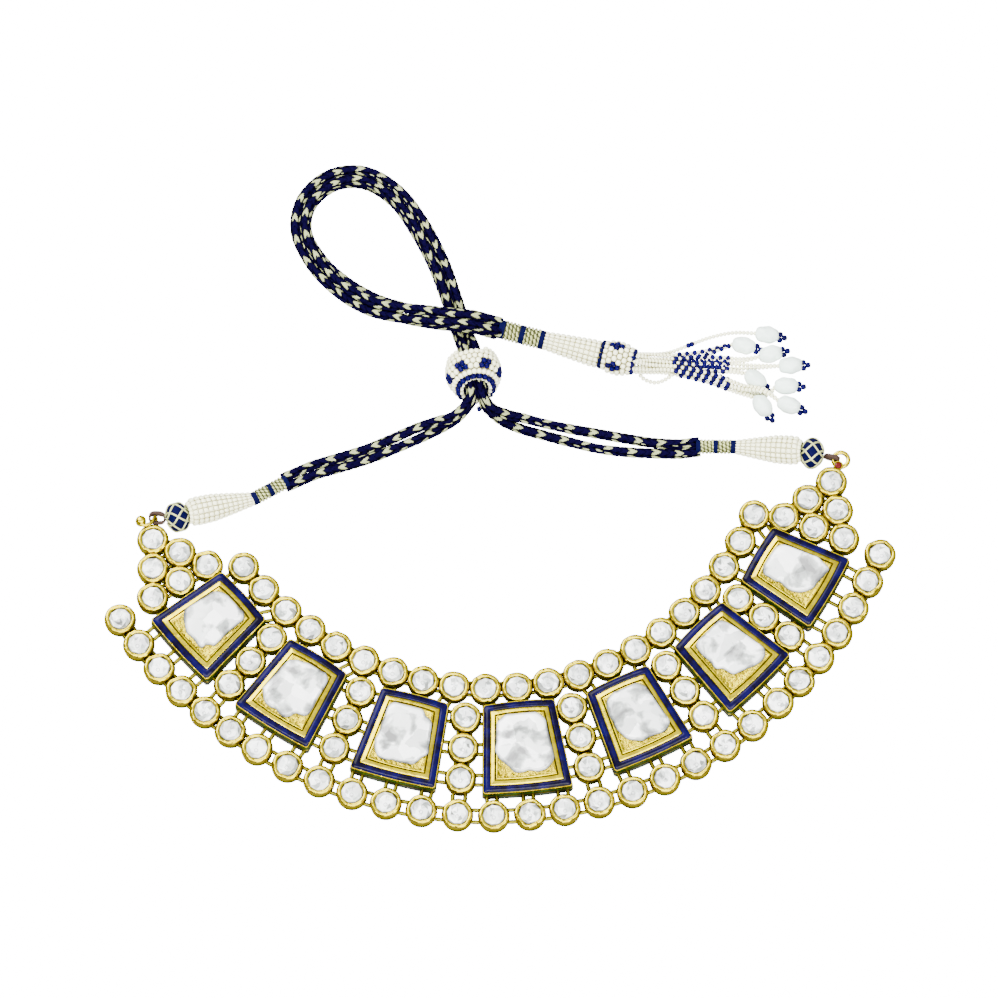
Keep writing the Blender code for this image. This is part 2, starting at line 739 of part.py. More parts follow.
def sleeve_train(prefix, ball_middle, turn, wrap_turn, finishes):
    """Lattice ball, pearl sleeve and wire wrap in a line; gives where the cords start."""
    direction = heading(turn)
    start = ball_middle - direction * (BALL_LENGTH / 2)
    profile = []
    for latitude in (-75, -40, 0, 40, 75):
        a = math.radians(latitude)
        height = BALL_LENGTH / 2 * (1 + math.sin(a))
        profile.append((BALL_WIDTH / 2 * math.cos(a), height))
    place = along(start, direction)
    turned(f"{prefix}_lattice_ball", profile, COLLET_SIDES, finishes["navy"], place)

    shoulder = SLEEVE_SHOULDER / 2
    drop = shoulder - SLEEVE_NECK / 2
    lean = math.asin(drop / (SLEEVE_LENGTH - SLEEVE_SHOULDER_AT))
    start = ball_middle + direction * (BALL_LENGTH / 2 + 2 * CLEARANCE)
    start.z = SLEEVE_SHOULDER_AT * math.sin(lean) + shoulder * math.cos(lean) + 0.04 * MM
    run = heading(turn, -math.degrees(lean))
    profile = [
        (SLEEVE_MOUTH / 2, 0.0),
        (SLEEVE_WIDTH / 2, 0.2 * SLEEVE_SHOULDER_AT),
        (shoulder, SLEEVE_SHOULDER_AT),
        (SLEEVE_NECK / 2, SLEEVE_LENGTH),
    ]
    name = f"{prefix}_pearl_sleeve"
    turned(name, profile, COLLET_SIDES, finishes["pearl"], along(start, run))

    lean = math.radians(abs(wrap_turn - turn))
    start = start + run * (SLEEVE_LENGTH + 1.5 * CLEARANCE + WRAP_WIDTH / 2 * math.sin(lean))
    start.z = WRAP_WIDTH / 2
    run = heading(wrap_turn)
    wire_wrap(f"{prefix}_wire_wrap", start, run, WRAP_WIDTH, WRAP_LENGTH, finishes["wire"])
    return start + run * (WRAP_LENGTH + CLEARANCE), run


def wire_wrap(name, start, run, width, length, material):
    """Two barrels of wound wire between three thread rings."""
    radius = width / 2
    waist = 0.92 * radius
    profile = [
        (waist, 0.0),
        (radius, 0.08 * length),
        (radius, 0.42 * length),
        (waist, 0.47 * length),
        (radius, 0.52 * length),
        (radius, 0.88 * length),
        (0.95 * waist, length),
    ]
    turned(name, profile, COLLET_SIDES, material, along(start, run))


def make_left_end(spine, places, turns, finishes):
    """End triangle with its hook, the thread loop on the hook and the sleeve behind it."""
    shapes, tip = triangle_shapes(MEDALLIONS[0].share, places[0], turns[0], "left")
    wall = wall_radius()
    post = HOOK_REACH + COLLET_WIDTH / 2 + THREAD
    low = Vector((0, 0, LINK_HEIGHT))
    bends = [
        (0.20 * HOOK_LENGTH, wall - LINK_SOLDER, 0.0),
        (0.16 * HOOK_LENGTH, post - 0.20 * HOOK_REACH, -0.06 * HOOK_RISE),
        (0.14 * HOOK_LENGTH, post, 0.24 * HOOK_RISE),
        (0.09 * HOOK_LENGTH, post - 0.27 * HOOK_REACH, 0.68 * HOOK_RISE),
        (-0.11 * HOOK_LENGTH, wall + 0.33 * HOOK_REACH, 0.91 * HOOK_RISE),
        (-0.50 * HOOK_LENGTH, wall - 0.13 * HOOK_REACH, HOOK_RISE),
        (-0.80 * HOOK_LENGTH, wall + 0.13 * HOOK_REACH, 0.94 * HOOK_RISE),
    ]
    bends = [tip + low + Vector(b) for b in bends]
    shapes.append(swept(bends, HOOK_WIRE, 6))
    out = (-0.68 * HOOK_LENGTH, wall + 0.67 * HOOK_REACH, 0.88 * HOOK_RISE)
    knob = tip + low + Vector(out)
    shapes.append(ball(knob, HOOK_BALL, HOOK_BALL, COLLET_SIDES, (0, 0, 1)))
    fused("left_end_with_hook", shapes, finishes["gold"])

    start = (-0.20 * HOOK_LENGTH, post - 0.07 * HOOK_REACH, 0.30 * HOOK_RISE)
    start = tip + low + Vector(start)
    middle = tip + Vector((*LEFT_BALL, BALL_WIDTH / 2))
    side = Vector((0, 1, 0))
    thread_loop("left_thread_loop", start, middle, 0.0, side, finishes["thread"])
    return sleeve_train("left", middle, LEFT_TURN, LEFT_TURN + WRAP_BEND, finishes)


def make_right_end(spine, places, turns, finishes):
    """End triangle with its ring and red stone, the thread loop and the sleeve behind it."""
    shapes, tip = triangle_shapes(MEDALLIONS[-1].share, places[-1], turns[-1], "right")
    middle = RING_WIDTH / 2 + COLLET_WIDTH / 2 + RING_STEM
    toward = heading(RING_TURN)
    centre = tip + toward * middle + Vector((0, 0, LINK_HEIGHT + 0.9 * RING_WIRE))
    stem_start = tip + toward * (wall_radius() - LINK_SOLDER) + Vector((0, 0, LINK_HEIGHT))
    stem_end = centre - toward * (RING_WIDTH / 2 - RING_WIRE / 2)
    shapes.append(rod(stem_start, stem_end, 1.4 * RING_WIRE, 6))
    body = fused("right_end_with_ring", shapes, finishes["gold"])
    bm = bmesh.new()
    radius = (RING_WIDTH - RING_WIRE) / 2
    line = [centre + Vector(p) for p in circle(radius, 0.0, COLLET_SIDES)]
    skin(bm, swept(line, RING_WIRE, 6, closed=True), closed=True)
    hoop = add_object("right_ring_shape", bm, finishes["gold"])
    hoop.hide_render = True
    hoop.display_type = "WIRE"
    union = body.modifiers.new("Ring", "BOOLEAN")
    union.operation = "UNION"
    union.object = hoop
    union.solver = "EXACT"
    seat = centre - toward * radius + Vector((0, 0, RING_WIRE / 2 + CLEARANCE))
    profile = [
        (0.6 * RING_STONE / 2, 0.0),
        (RING_STONE / 2, 0.3 * MM),
        (0.55 * RING_STONE / 2, 0.7 * MM),
    ]
    place = Matrix.Translation(seat)
    turned("ring_stone", profile, COLLET_SIDES, finishes["ruby"], place)

    inside = radius - RING_WIRE / 2 - THREAD / 2 - 1.8 * CLEARANCE
    start = centre + heading(RIGHT_TURN) * inside
    middle = tip + Vector((*RIGHT_BALL, BALL_WIDTH / 2))
    side = Vector((0, 0, 1))
    thread_loop("right_thread_loop", start, middle, RIGHT_TURN, side, finishes["thread"])
    return sleeve_train("right", middle, RIGHT_TURN, RIGHT_TURN + WRAP_BEND / 2, finishes)


def smooth(rows, count):
    """Rows read at even steps from a smooth curve through the given rows (Catmull-Rom)."""
    table = np.array(rows, float)
    padded = np.vstack([2 * table[0] - table[1], table, 2 * table[-1] - table[-2]])
    dense = []
    for i in range(len(table) - 1):
        p0, p1, p2, p3 = padded[i : i + 4]
        for t in np.linspace(0, 1, 24, endpoint=False):
            rise = (p2 - p0) * t
            bend = (2 * p0 - 5 * p1 + 4 * p2 - p3) * t**2
            twist = (3 * p1 - p0 - 3 * p2 + p3) * t**3
            dense.append(p1 + 0.5 * (rise + bend + twist))
    dense.append(table[-1])
    dense = np.array(dense)
    steps = np.linalg.norm(np.diff(dense[:, :3], axis=0), axis=1)
    length = np.concatenate([[0], np.cumsum(steps)])
    places = np.linspace(0, length[-1], count)
    columns = [np.interp(places, length, column) for column in dense.T]
    return np.array(columns).T


def normals(points):
    """The level direction to the left of a line at each of its points."""
    run = np.gradient(points[:, :2], axis=0)
    run /= np.linalg.norm(run, axis=1)[:, None]
    return np.column_stack([-run[:, 1], run[:, 0], np.zeros(len(run))])


def laid(rows, pairs):
    """A route's middle line, with how far and which way its strands lie apart."""
    way = np.array(rows, float)
    roll = np.radians(way[:, 4])[:, None]
    apart = way[:, 3][:, None] * (CORD_DIAMETER + STRAND_GAP)
    rise = apart * np.abs(np.sin(roll))
    if pairs == 2:
        rise += apart * np.abs(np.cos(roll))
    middle = way[:, :3].copy()
    middle[:, 2] += (rise[:, 0] + CORD_DIAMETER) / 2
    run = np.gradient(middle, axis=0)
    run /= np.linalg.norm(run, axis=1)[:, None]
    side = normals(middle)
    up = np.cross(run, side)
    first = (np.cos(roll) * side + np.sin(roll) * up) * apart
    second = (np.cos(roll) * up - np.sin(roll) * side) * apart
    return middle, first, second


def strand_lines(left_start, right_start):
    """The four strands' middle lines: each pair's stretch, then the bundle's."""
    bundle, pair_way, strand_way = laid([scaled(r) for r in BUNDLE_ROUTE], 2)
    lines = []
    pairs = ((left_start, LEFT_ROUTE, 0.5), (right_start, RIGHT_ROUTE, -0.5))
    for (start, run), route, pair in pairs:
        start = start + run * (2 * CLEARANCE)
        rows = [(start.x, start.y, route[0].lift * MM, 1.0, route[0].roll)]
        rows += [scaled(r) for r in route]
        mouth = bundle[0] + pair * pair_way[0]
        rows.append((mouth[0], mouth[1], BUNDLE_ROUTE[0].lift * MM, 1.0, 90))
        middle, across, _ = laid(rows, 1)
        for strand in (0.5, -0.5):
            pair_line = middle[:-1] + strand * across[:-1]
            bundle_line = bundle + pair * pair_way + strand * strand_way
            lines.append(np.vstack([pair_line, bundle_line]))
    return lines


def scaled(row):
    """A route's row with its place in metres."""
    return (row.x * MM, row.y * MM, row.lift * MM, row.apart, row.roll)


def tube(name, points, diameter, material):
    """A cord as a curve through its points, with filled ends."""
    curve = bpy.data.curves.new(name, "CURVE")
    curve.dimensions = "3D"
    curve.bevel_depth = diameter / 2
    curve.bevel_resolution = 2
    curve.use_fill_caps = True
    curve.materials.append(material)
    spline = curve.splines.new("POLY")
    spline.points.add(len(points) - 1)
    for spot, point in zip(spline.points, points):
        spot.co = (*point, 1.0)
    made = bpy.data.objects.new(name, curve)
    bpy.context.scene.collection.objects.link(made)
    return made


def make_cords(left_start, right_start, navy):
    for i, line in enumerate(strand_lines(left_start, right_start)):
        tube(f"cord_{i + 1}", line, CORD_DIAMETER, navy)


def make_slider(pearl):
    """Beaded slider: a barrel with a hole that clears the bundle of four cords."""
    pitch = CORD_DIAMETER + STRAND_GAP
    snug = pitch / math.sqrt(2) + CORD_DIAMETER / 2 + CLEARANCE
    hole = snug / math.cos(math.pi / TURNED_SIDES)
    half = SLIDER_LENGTH / 2
    outer = []
    for latitude in (-52, -25, 0, 25, 52):
        a = math.radians(latitude)
        outer.append((SLIDER_WIDTH / 2 * math.cos(a), half * math.sin(a)))
    flare = hole + SLIDER_FLARE
    deep = 0.6 * half
    profile = [(hole, deep), (hole, -deep), (flare, -half), (SLIDER_MOUTH / 2 + 0.2 * MM, -half)]
    profile += outer + [(SLIDER_MOUTH / 2 + 0.2 * MM, half), (flare, half)]
    turn = math.radians(90 + SLIDER_TURN)
    middle = Vector((*SLIDER_MIDDLE, SLIDER_WIDTH / 2))
    direction = Vector((math.cos(turn), math.sin(turn), 0))
    place = along(middle, direction)
    turned_ring("slider", profile, TURNED_SIDES, pearl, place)


def make_tassel(finishes):
    """Wire wrap, pearl sleeve, beaded cap and the strands with their pearls."""
    start = Vector(TASSEL_START)
    low = TASSEL_SLEEVE_WIDTH / 2
    length = TASSEL_WRAP_LENGTH + TASSEL_SLEEVE_LENGTH
    slope = -math.degrees(math.asin((start.z - low) / length))
    run = heading(TASSEL_TURN, slope)
    wire_wrap("tassel_wrap", start, run, TASSEL_WRAP_WIDTH, TASSEL_WRAP_LENGTH, finishes["wire"])
    start = start + run * (TASSEL_WRAP_LENGTH + CLEARANCE)
    profile = [
        (TASSEL_SLEEVE_NECK / 2, 0.0),
        (0.82 * TASSEL_SLEEVE_WIDTH / 2, 0.4 * TASSEL_SLEEVE_LENGTH),
        (TASSEL_SLEEVE_WIDTH / 2, 0.9 * TASSEL_SLEEVE_LENGTH),
        (0.9 * TASSEL_SLEEVE_WIDTH / 2, TASSEL_SLEEVE_LENGTH),
    ]
    turned("tassel_sleeve", profile, COLLET_SIDES, finishes["pearl"], along(start, run))
    start = start + run * (TASSEL_SLEEVE_LENGTH + 2 * CLEARANCE)
    start.z = TASSEL_CAP_WIDTH / 2
    run = heading(TASSEL_TURN)
    profile = [
        (0.80 * TASSEL_CAP_WIDTH / 2, 0.0),
        (TASSEL_CAP_WIDTH / 2, 0.3 * TASSEL_CAP_LENGTH),
        (TASSEL_CAP_WIDTH / 2, 0.7 * TASSEL_CAP_LENGTH),
        (TASSEL_CAP_MOUTH / 2, TASSEL_CAP_LENGTH),
    ]
    turned("tassel_cap", profile, TURNED_SIDES, finishes["pearl"], along(start, run))
    mouth = start + run * (TASSEL_CAP_LENGTH + 2 * CLEARANCE)
    for i, drop in enumerate(DROPS):
        tassel_strand(f"tassel_strand_{i + 1}", mouth, run, drop, finishes["pearl"])


def tassel_strand(name, mouth, run, drop, material):
    """A strand of seed beads from the cap to its pearl."""
    side = Vector((-run.y, run.x, 0))
    spread = (TASSEL_CAP_MOUTH - BEAD_STRAND) / 2
    out = mouth + side * (drop.across * spread) + Vector((0, 0, drop.up * spread))
    pearl = Vector((drop.x * MM, drop.y * MM, PEARL_WIDTH / 2))
    way = heading(drop.turn)
    hole = pearl - way * (PEARL_LENGTH / 2 - BEAD_STRAND / 2)
    rows = [(*out, 1, 0)]
    rows += [(x * MM, y * MM, z * MM, 1, 0) for x, y, z in drop.route]
    rows.append((*hole, 1, 0))
    line = smooth(rows, STRAND_POINTS)[:, :3]
    shapes = [ball(pearl, PEARL_WIDTH, PEARL_LENGTH, PEARL_SIDES, way)]
    shapes.append(swept(line, BEAD_STRAND, LINK_SIDES))
    return fused(name, shapes, material)


def make_medallions(spine, finishes):
    """The seven medallions; gives each one's placement and turn."""
    middle = len(MEDALLIONS) // 2
    places, turns = [], []
    for k, medallion in enumerate(MEDALLIONS):
        place, turn = spine.at(k - middle)
        frame = frame_of(place, turn)
        name = f"medallion_{k + 1}"
        medallion_case(f"{name}_case", medallion.share, frame, finishes["gold"])
        medallion_enamel(f"{name}_enamel", medallion.share, frame, finishes["enamel"])
        medallion_stone(f"{name}_stone", medallion, frame, finishes["polki"])
        places.append(frame)
        turns.append(turn)
    return places, turns


def main():
    clear_scene()
    finishes = {
        "gold": finish("kundan_gold", (0.83, 0.62, 0.22), 0.28, 1.0),
        "enamel": finish("blue_enamel", (0.02, 0.03, 0.30), 0.12, 0.0),
        "polki": finish("uncut_stone", (0.86, 0.88, 0.90), 0.08, 0.0),
        "pearl": finish("seed_pearl", (0.93, 0.90, 0.82), 0.35, 0.0),
        "wire": finish("wound_wire", (0.66, 0.60, 0.40), 0.35, 1.0),
        "navy": finish("navy_silk", (0.02, 0.02, 0.12), 0.7, 0.0),
        "thread": finish("dark_thread", (0.08, 0.05, 0.04), 0.8, 0.0),
        "ruby": finish("red_stone", (0.55, 0.02, 0.04), 0.1, 0.0),
    }
    spine = Spine()
    places, turns = make_medallions(spine, finishes)
    make_rows(spine, places, finishes["gold"])
    make_columns(spine, places, finishes["gold"])
    left_start = make_left_end(spine, places, turns, finishes)
    right_start = make_right_end(spine, places, turns, finishes)
    make_cords(left_start, right_start, finishes["navy"])
    make_slider(finishes["pearl"])
    make_tassel(finishes)


main()
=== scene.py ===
# %% [markdown]
# # A kundan choker with its braided cord
# The choker lies with its stones up: seven keystone medallions, rows of round collets
# linked by small wire rings, two beaded sleeves and four braided silk strands that run
# through a beaded slider to a tassel of pearls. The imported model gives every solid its
# place. This script dresses those solids with the surfaces that the eye sees, and it
# works in millimetres until a piece is made.

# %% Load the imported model
import math

import bmesh
import bpy
import numpy as np
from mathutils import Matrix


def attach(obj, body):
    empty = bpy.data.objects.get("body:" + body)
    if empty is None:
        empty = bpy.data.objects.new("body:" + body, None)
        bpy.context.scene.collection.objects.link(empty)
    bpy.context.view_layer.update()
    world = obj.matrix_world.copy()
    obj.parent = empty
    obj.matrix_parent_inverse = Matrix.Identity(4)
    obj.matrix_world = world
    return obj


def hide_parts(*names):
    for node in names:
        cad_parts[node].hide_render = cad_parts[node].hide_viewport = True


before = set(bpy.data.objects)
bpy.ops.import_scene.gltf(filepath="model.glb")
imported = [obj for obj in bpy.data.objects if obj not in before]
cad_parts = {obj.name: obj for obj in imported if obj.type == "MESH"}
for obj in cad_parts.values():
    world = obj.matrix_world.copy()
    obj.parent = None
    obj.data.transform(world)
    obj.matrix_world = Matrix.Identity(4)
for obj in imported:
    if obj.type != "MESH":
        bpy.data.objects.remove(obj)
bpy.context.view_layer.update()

MM = 0.001

# %% [markdown]
# ## The camera
# The photo was taken from high above the outer side, with a long lens, so that lines that
# are parallel stay parallel. A camera two metres away with a long lens does the same. Its
# place comes from one point that it looks at and from one angle over the table.

# %% The camera
LOOK_AT = np.array([-6.0, 64.7, 4.0])
ELEVATION = 71.1
DISTANCE = 2000.0
FRAME_WIDTH = 249.5  # how much of the table fits across the picture, in mm
SENSOR = 36.0


def set_camera():
    """A camera at LOOK_AT minus DISTANCE times its sight line, which dips by ELEVATION."""
    dip = math.radians(ELEVATION)
    back = np.array([0.0, -math.cos(dip), math.sin(dip)]) * DISTANCE
    data = bpy.data.cameras.new("camera")
    data.sensor_width = SENSOR
    data.lens = SENSOR * DISTANCE / FRAME_WIDTH
    data.clip_start, data.clip_end = 0.1, 10.0
    eye = bpy.data.objects.new("camera", data)
    eye.location = (LOOK_AT + back) * MM
    eye.rotation_euler = (math.radians(90) - dip, 0.0, 0.0)
    bpy.context.scene.collection.objects.link(eye)
    bpy.context.scene.camera = eye
    return eye


camera = set_camera()
print("the camera's lens is", round(camera.data.lens, 1), "mm long")

# %% [markdown]
# ## From a grid of points to a piece
# Each surface here is a grid: a formula gives one point for each row and column. Four
# neighbours in the grid make one face. A closed shape ends where it began, so its last
# column repeats its first, and merging the doubled points closes the seam and the poles.
# After that the faces are turned to point outwards.


# %% Grids and pieces by name
WELD = 0.0004  # points closer than this are merged, in mm


def grid_faces(copies, rows, cols):
    """Corner numbers of every four-cornered face in copies of a rows by cols grid."""
    row, col = np.meshgrid(np.arange(rows - 1), np.arange(cols - 1), indexing="ij")
    first = (row * cols + col).ravel()
    quad = np.column_stack([first, first + 1, first + cols + 1, first + cols])
    return (quad[None] + rows * cols * np.arange(copies)[:, None, None]).reshape(-1, 4)


def sheet(points, paint=0, tone=0.5, uv=None, smooth=True):
    """One or more grids of points in mm, with a paint number and a tone for each face."""
    points = np.asarray(points, float)
    if points.ndim == 3:
        points = points[None]
    copies, rows, cols, _ = points.shape
    cells = (copies, rows - 1, cols - 1)
    faces = grid_faces(copies, rows, cols)
    uv = np.broadcast_to(0.0 if uv is None else uv, points.shape[:3] + (2,))
    return {
        "points": points.reshape(-1, 3),
        "faces": faces,
        "paint": np.broadcast_to(paint, cells).ravel(),
        "tone": np.broadcast_to(tone, cells).ravel(),
        "uv": uv.reshape(-1, 2),
        "smooth": np.full(len(faces), smooth),
    }


def close_up(mesh):
    """Merge the doubled points of a mesh and turn its faces outwards."""
    bm = bmesh.new()
    bm.from_mesh(mesh)
    bmesh.ops.remove_doubles(bm, verts=bm.verts, dist=WELD * MM)
    bmesh.ops.dissolve_degenerate(bm, edges=bm.edges, dist=WELD / 2 * MM)
    bmesh.ops.recalc_face_normals(bm, faces=bm.faces)
    bm.to_mesh(mesh)
    bm.free()


def new_piece(name, sheets, materials, slot, *nodes, crease=None):
    """Join sheets into one named object on the root body, which stands for these nodes.

    A face's paint is the number of its material. Edges sharper than the crease, in
    degrees, stay sharp.
    """
    counts = np.cumsum([0] + [len(s["points"]) for s in sheets])
    points = np.vstack([s["points"] for s in sheets]) * MM
    faces = np.vstack([s["faces"] + first for s, first in zip(sheets, counts)])
    mesh = bpy.data.meshes.new(name)
    mesh.vertices.add(len(points))
    mesh.vertices.foreach_set("co", points.ravel())
    mesh.loops.add(faces.size)
    mesh.loops.foreach_set("vertex_index", faces.ravel())
    mesh.polygons.add(len(faces))
    mesh.polygons.foreach_set("loop_start", np.arange(0, faces.size, 4))
    mesh.update(calc_edges=True)
    for key, target in (("paint", "material_index"), ("smooth", "use_smooth")):
        mesh.polygons.foreach_set(target, np.concatenate([s[key] for s in sheets]))
    tone = mesh.attributes.new("tone", "FLOAT", "FACE")
    tone.data.foreach_set("value", np.concatenate([s["tone"] for s in sheets]))
    layer = mesh.uv_layers.new(name="lay")
    uv = np.vstack([s["uv"] for s in sheets])
    layer.data.foreach_set("uv", uv[faces.ravel()].ravel())
    for material in materials:
        mesh.materials.append(material)
    close_up(mesh)
    if crease:
        mesh.set_sharp_from_angle(angle=math.radians(crease))
    made = bpy.data.objects.new(name, mesh)
    bpy.context.scene.collection.objects.link(made)
    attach(made, "root")
    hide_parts(*nodes)
    print(name, "has", len(mesh.polygons), "faces")
    return made


# %% [markdown]
# ## Finishes
# A finish is a small network of nodes. Gold is a metal whose colour is its reflection, so
# it needs unevenness more than it needs colour: a hammered bump breaks the reflections,
# and painted shade darkens the hollows. Darker copies of the gold paint shade on walls,
# flanks, creases and undersides. Enamel is deep colour under clear glass. The stones are
# milky glass over foil, with clouds and facets of different tone and painted shade at
# their edges.


# %% A material and its nodes
def new_finish(name, colour, roughness, metallic=0.0, coat=0.0, coat_roughness=0.05):
    """A material with a Principled shader, and the tree and shader to build on."""
    made = bpy.data.materials.new(name)
    made.use_nodes = True
    tree = made.node_tree
    shader = tree.nodes["Principled BSDF"]
    shader.inputs["Base Color"].default_value = (*colour, 1.0)
    shader.inputs["Roughness"].default_value = roughness
    shader.inputs["Metallic"].default_value = metallic
    shader.inputs["Coat Weight"].default_value = coat
    shader.inputs["Coat Roughness"].default_value = coat_roughness
    return made, tree, shader


def add(tree, kind, links=(), **values):
    """A node of this kind with values for its sockets, linked from other nodes' outputs."""
    node = tree.nodes.new(kind)
    for key, value in values.items():
        if key.startswith("use_"):
            setattr(node, key[4:], value)
        else:
            node.inputs[key.replace("_", " ")].default_value = value
    for socket, output in links:
        tree.links.new(output, node.inputs[socket])
    return node


def ramp(tree, source, stops):
    """The colour of a ramp fed by source, with (place, colour) stops. A number is a grey."""
    node = tree.nodes.new("ShaderNodeValToRGB")
    tree.links.new(source, node.inputs["Fac"])
    while len(node.color_ramp.elements) < len(stops):
        node.color_ramp.elements.new(0.5)
    for element, (place, colour) in zip(node.color_ramp.elements, stops):
        element.position = place
        element.color = (*np.broadcast_to(colour, 3), 1.0)
    return node.outputs["Color"]


def object_noise(tree, scale, detail=3.0, distortion=0.0, output="Fac"):
    """Noise on Object coordinates. A scale of 1 repeats about once in a millimetre."""
    place = tree.nodes.new("ShaderNodeTexCoord")
    node = add(
        tree, "ShaderNodeTexNoise", [("Vector", place.outputs["Object"])],
        Scale=scale / MM, Detail=detail, Distortion=distortion,
    )
    return node.outputs[output]


def mix_colour(tree, factor, first, second, way="MULTIPLY"):
    """Two colours or colour outputs mixed by a factor, which may be an output too."""
    node = tree.nodes.new("ShaderNodeMix")
    node.data_type = "RGBA"
    node.blend_type = way
    for index, value in ((0, factor), (6, first), (7, second)):
        if hasattr(value, "links"):
            tree.links.new(value, node.inputs[index])
        else:
            node.inputs[index].default_value = value
    return node.outputs[2]


def hollows(tree, reach, stops):
    """Painted shade: a ramp from the deepest hollows to open places, which looks this far in mm."""
    node = add(tree, "ShaderNodeAmbientOcclusion", use_samples=6, Distance=reach * MM)
    return ramp(tree, node.outputs["AO"], stops)


def dress(tree, shader, colour, height, depth):
    """Feed a colour and a relief to the shader. The relief's depth is in millimetres."""
    tree.links.new(colour, shader.inputs["Base Color"])
    node = add(tree, "ShaderNodeBump", [("Height", height)], Strength=1.0, Distance=depth * MM)
    tree.links.new(node.outputs["Normal"], shader.inputs["Normal"])


# %% Gold, enamel and stone
def gold_finish(name, bright, deep, roughness, dents, depth):
    """Metal with painted shade in its hollows, and a bump with this many dents per millimetre."""
    made, tree, shader = new_finish(name, bright, roughness, metallic=1.0)
    shader.inputs["Specular Tint"].default_value = (0.90, 0.72, 0.0, 1.0)
    # Painted shade: the hollows take the deep colour.
    hollow_shade = hollows(tree, 0.9, [(0.25, deep), (0.8, bright)])
    foil = ramp(tree, object_noise(tree, 0.7), [(0.36, (0.70, 0.66, 1.0)), (0.56, 1.0)])
    noise = object_noise(tree, dents, detail=2.5, distortion=0.4)
    dress(tree, shader, mix_colour(tree, 1.0, hollow_shade, foil), noise, depth)
    return made


def enamel_finish(name, colour, lighter):
    """Clear glass over a colour that is a little lighter in soft patches."""
    made, tree, shader = new_finish(name, colour, 0.12)
    shader.inputs["Specular IOR Level"].default_value = 0.065
    tint = ramp(tree, object_noise(tree, 0.35, detail=4.0), [(0.40, colour), (0.62, lighter)])
    dress(tree, shader, tint, object_noise(tree, 0.5, detail=1.0), 0.05)
    return made


def stone_finish(name, cell, clouds, murk, marks):
    """Milky glass over foil: planes of different tone, grey clouds, culet mark, painted edge shade.

    Cell and clouds are how many planes and clouds there are to a millimetre, and murk is
    how light the darkest cloud is.
    """
    white = (0.95, 0.96, 0.95)
    made, tree, shader = new_finish(name, white, 0.14, coat=0.6, coat_roughness=0.03)
    tone = add(tree, "ShaderNodeAttribute", use_attribute_name="tone")
    facet = ramp(tree, tone.outputs["Fac"], [
        (0.0, (0.10, 0.10, 0.09)), (0.35, (0.42, 0.44, 0.43)), (0.62, white),
    ])
    place = tree.nodes.new("ShaderNodeTexCoord")
    moved = tree.nodes.new("ShaderNodeVectorMath")
    moved.operation = "MULTIPLY_ADD"
    tree.links.new(object_noise(tree, clouds * 1.6, detail=2.0, output="Color"), moved.inputs[0])
    moved.inputs[1].default_value = (0.45 * MM / cell,) * 3
    tree.links.new(place.outputs["Object"], moved.inputs[2])
    planes = add(
        tree, "ShaderNodeTexVoronoi", [("Vector", moved.outputs["Vector"])], Scale=cell / MM,
    )
    plane = ramp(tree, planes.outputs["Color"], [
        (0.12, (0.30, 0.32, 0.31)), (0.36, (0.60, 0.62, 0.61)), (0.58, 1.0),
    ])
    middle = (1 + 2 * murk) / 3
    cloud = ramp(tree, object_noise(tree, clouds, detail=4.0, distortion=0.35), [
        (0.34, murk), (0.44, (middle, 1.04 * middle, 1.02 * middle)), (0.50, 1.0),
    ])
    colour = mix_colour(tree, 0.6, mix_colour(tree, 1.0, facet, cloud), plane)
    if marks:
        colour = mix_colour(tree, culet_mark_and_rim_shade(tree), colour, (0.10, 0.10, 0.10, 1.0), way="MIX")
    dress(tree, shader, colour, object_noise(tree, clouds * 1.5, detail=1.5), 0.25)
    return made


def math_node(tree, operation, *values, clamp=False):
    """A math node on numbers or outputs."""
    node = tree.nodes.new("ShaderNodeMath")
    node.operation = operation
    node.use_clamp = clamp
    for index, value in enumerate(values):
        if hasattr(value, "links"):
            tree.links.new(value, node.inputs[index])
        else:
            node.inputs[index].default_value = value
    return node.outputs[0]


def culet_mark_and_rim_shade(tree):
    """How dark a small stone is: a ring and a short line over the culet, and painted edge shade.

    On the stone's own map the edge is at 1. The ring has a radius of 0.15 round a point
    0.28 below the middle, the line is 0.6 long above it, and the painted shade starts at 0.84.
    """
    def calc(operation, *values, clamp=False):
        return math_node(tree, operation, *values, clamp=clamp)

    def distance(x, y):
        return calc("SQRT", calc("ADD", calc("MULTIPLY", x, x), calc("MULTIPLY", y, y)))

    place = add(tree, "ShaderNodeUVMap", use_uv_map="lay")
    split = add(tree, "ShaderNodeSeparateXYZ", [("Vector", place.outputs["UV"])])
    x, y = split.outputs["X"], split.outputs["Y"]
    off = calc("ABSOLUTE", calc("SUBTRACT", distance(x, calc("ADD", y, 0.28)), 0.15))
    ring = calc("SUBTRACT", 1.0, calc("DIVIDE", off, 0.045), clamp=True)
    wide = calc("DIVIDE", calc("ABSOLUTE", x), 0.05)
    tall = calc("DIVIDE", calc("ABSOLUTE", calc("SUBTRACT", y, 0.3)), 0.3)
    line = calc("SUBTRACT", 1.0, calc("MAXIMUM", wide, tall), clamp=True)
    # Painted shade: the stone darkens towards its edge, where the rim overhangs it.
    edge = calc("MULTIPLY", calc("SUBTRACT", distance(x, y), 0.84), 6.0, clamp=True)
    marks = calc("MULTIPLY", calc("MAXIMUM", ring, line), 0.85)
    return calc("MAXIMUM", marks, calc("MULTIPLY", edge, 0.75))
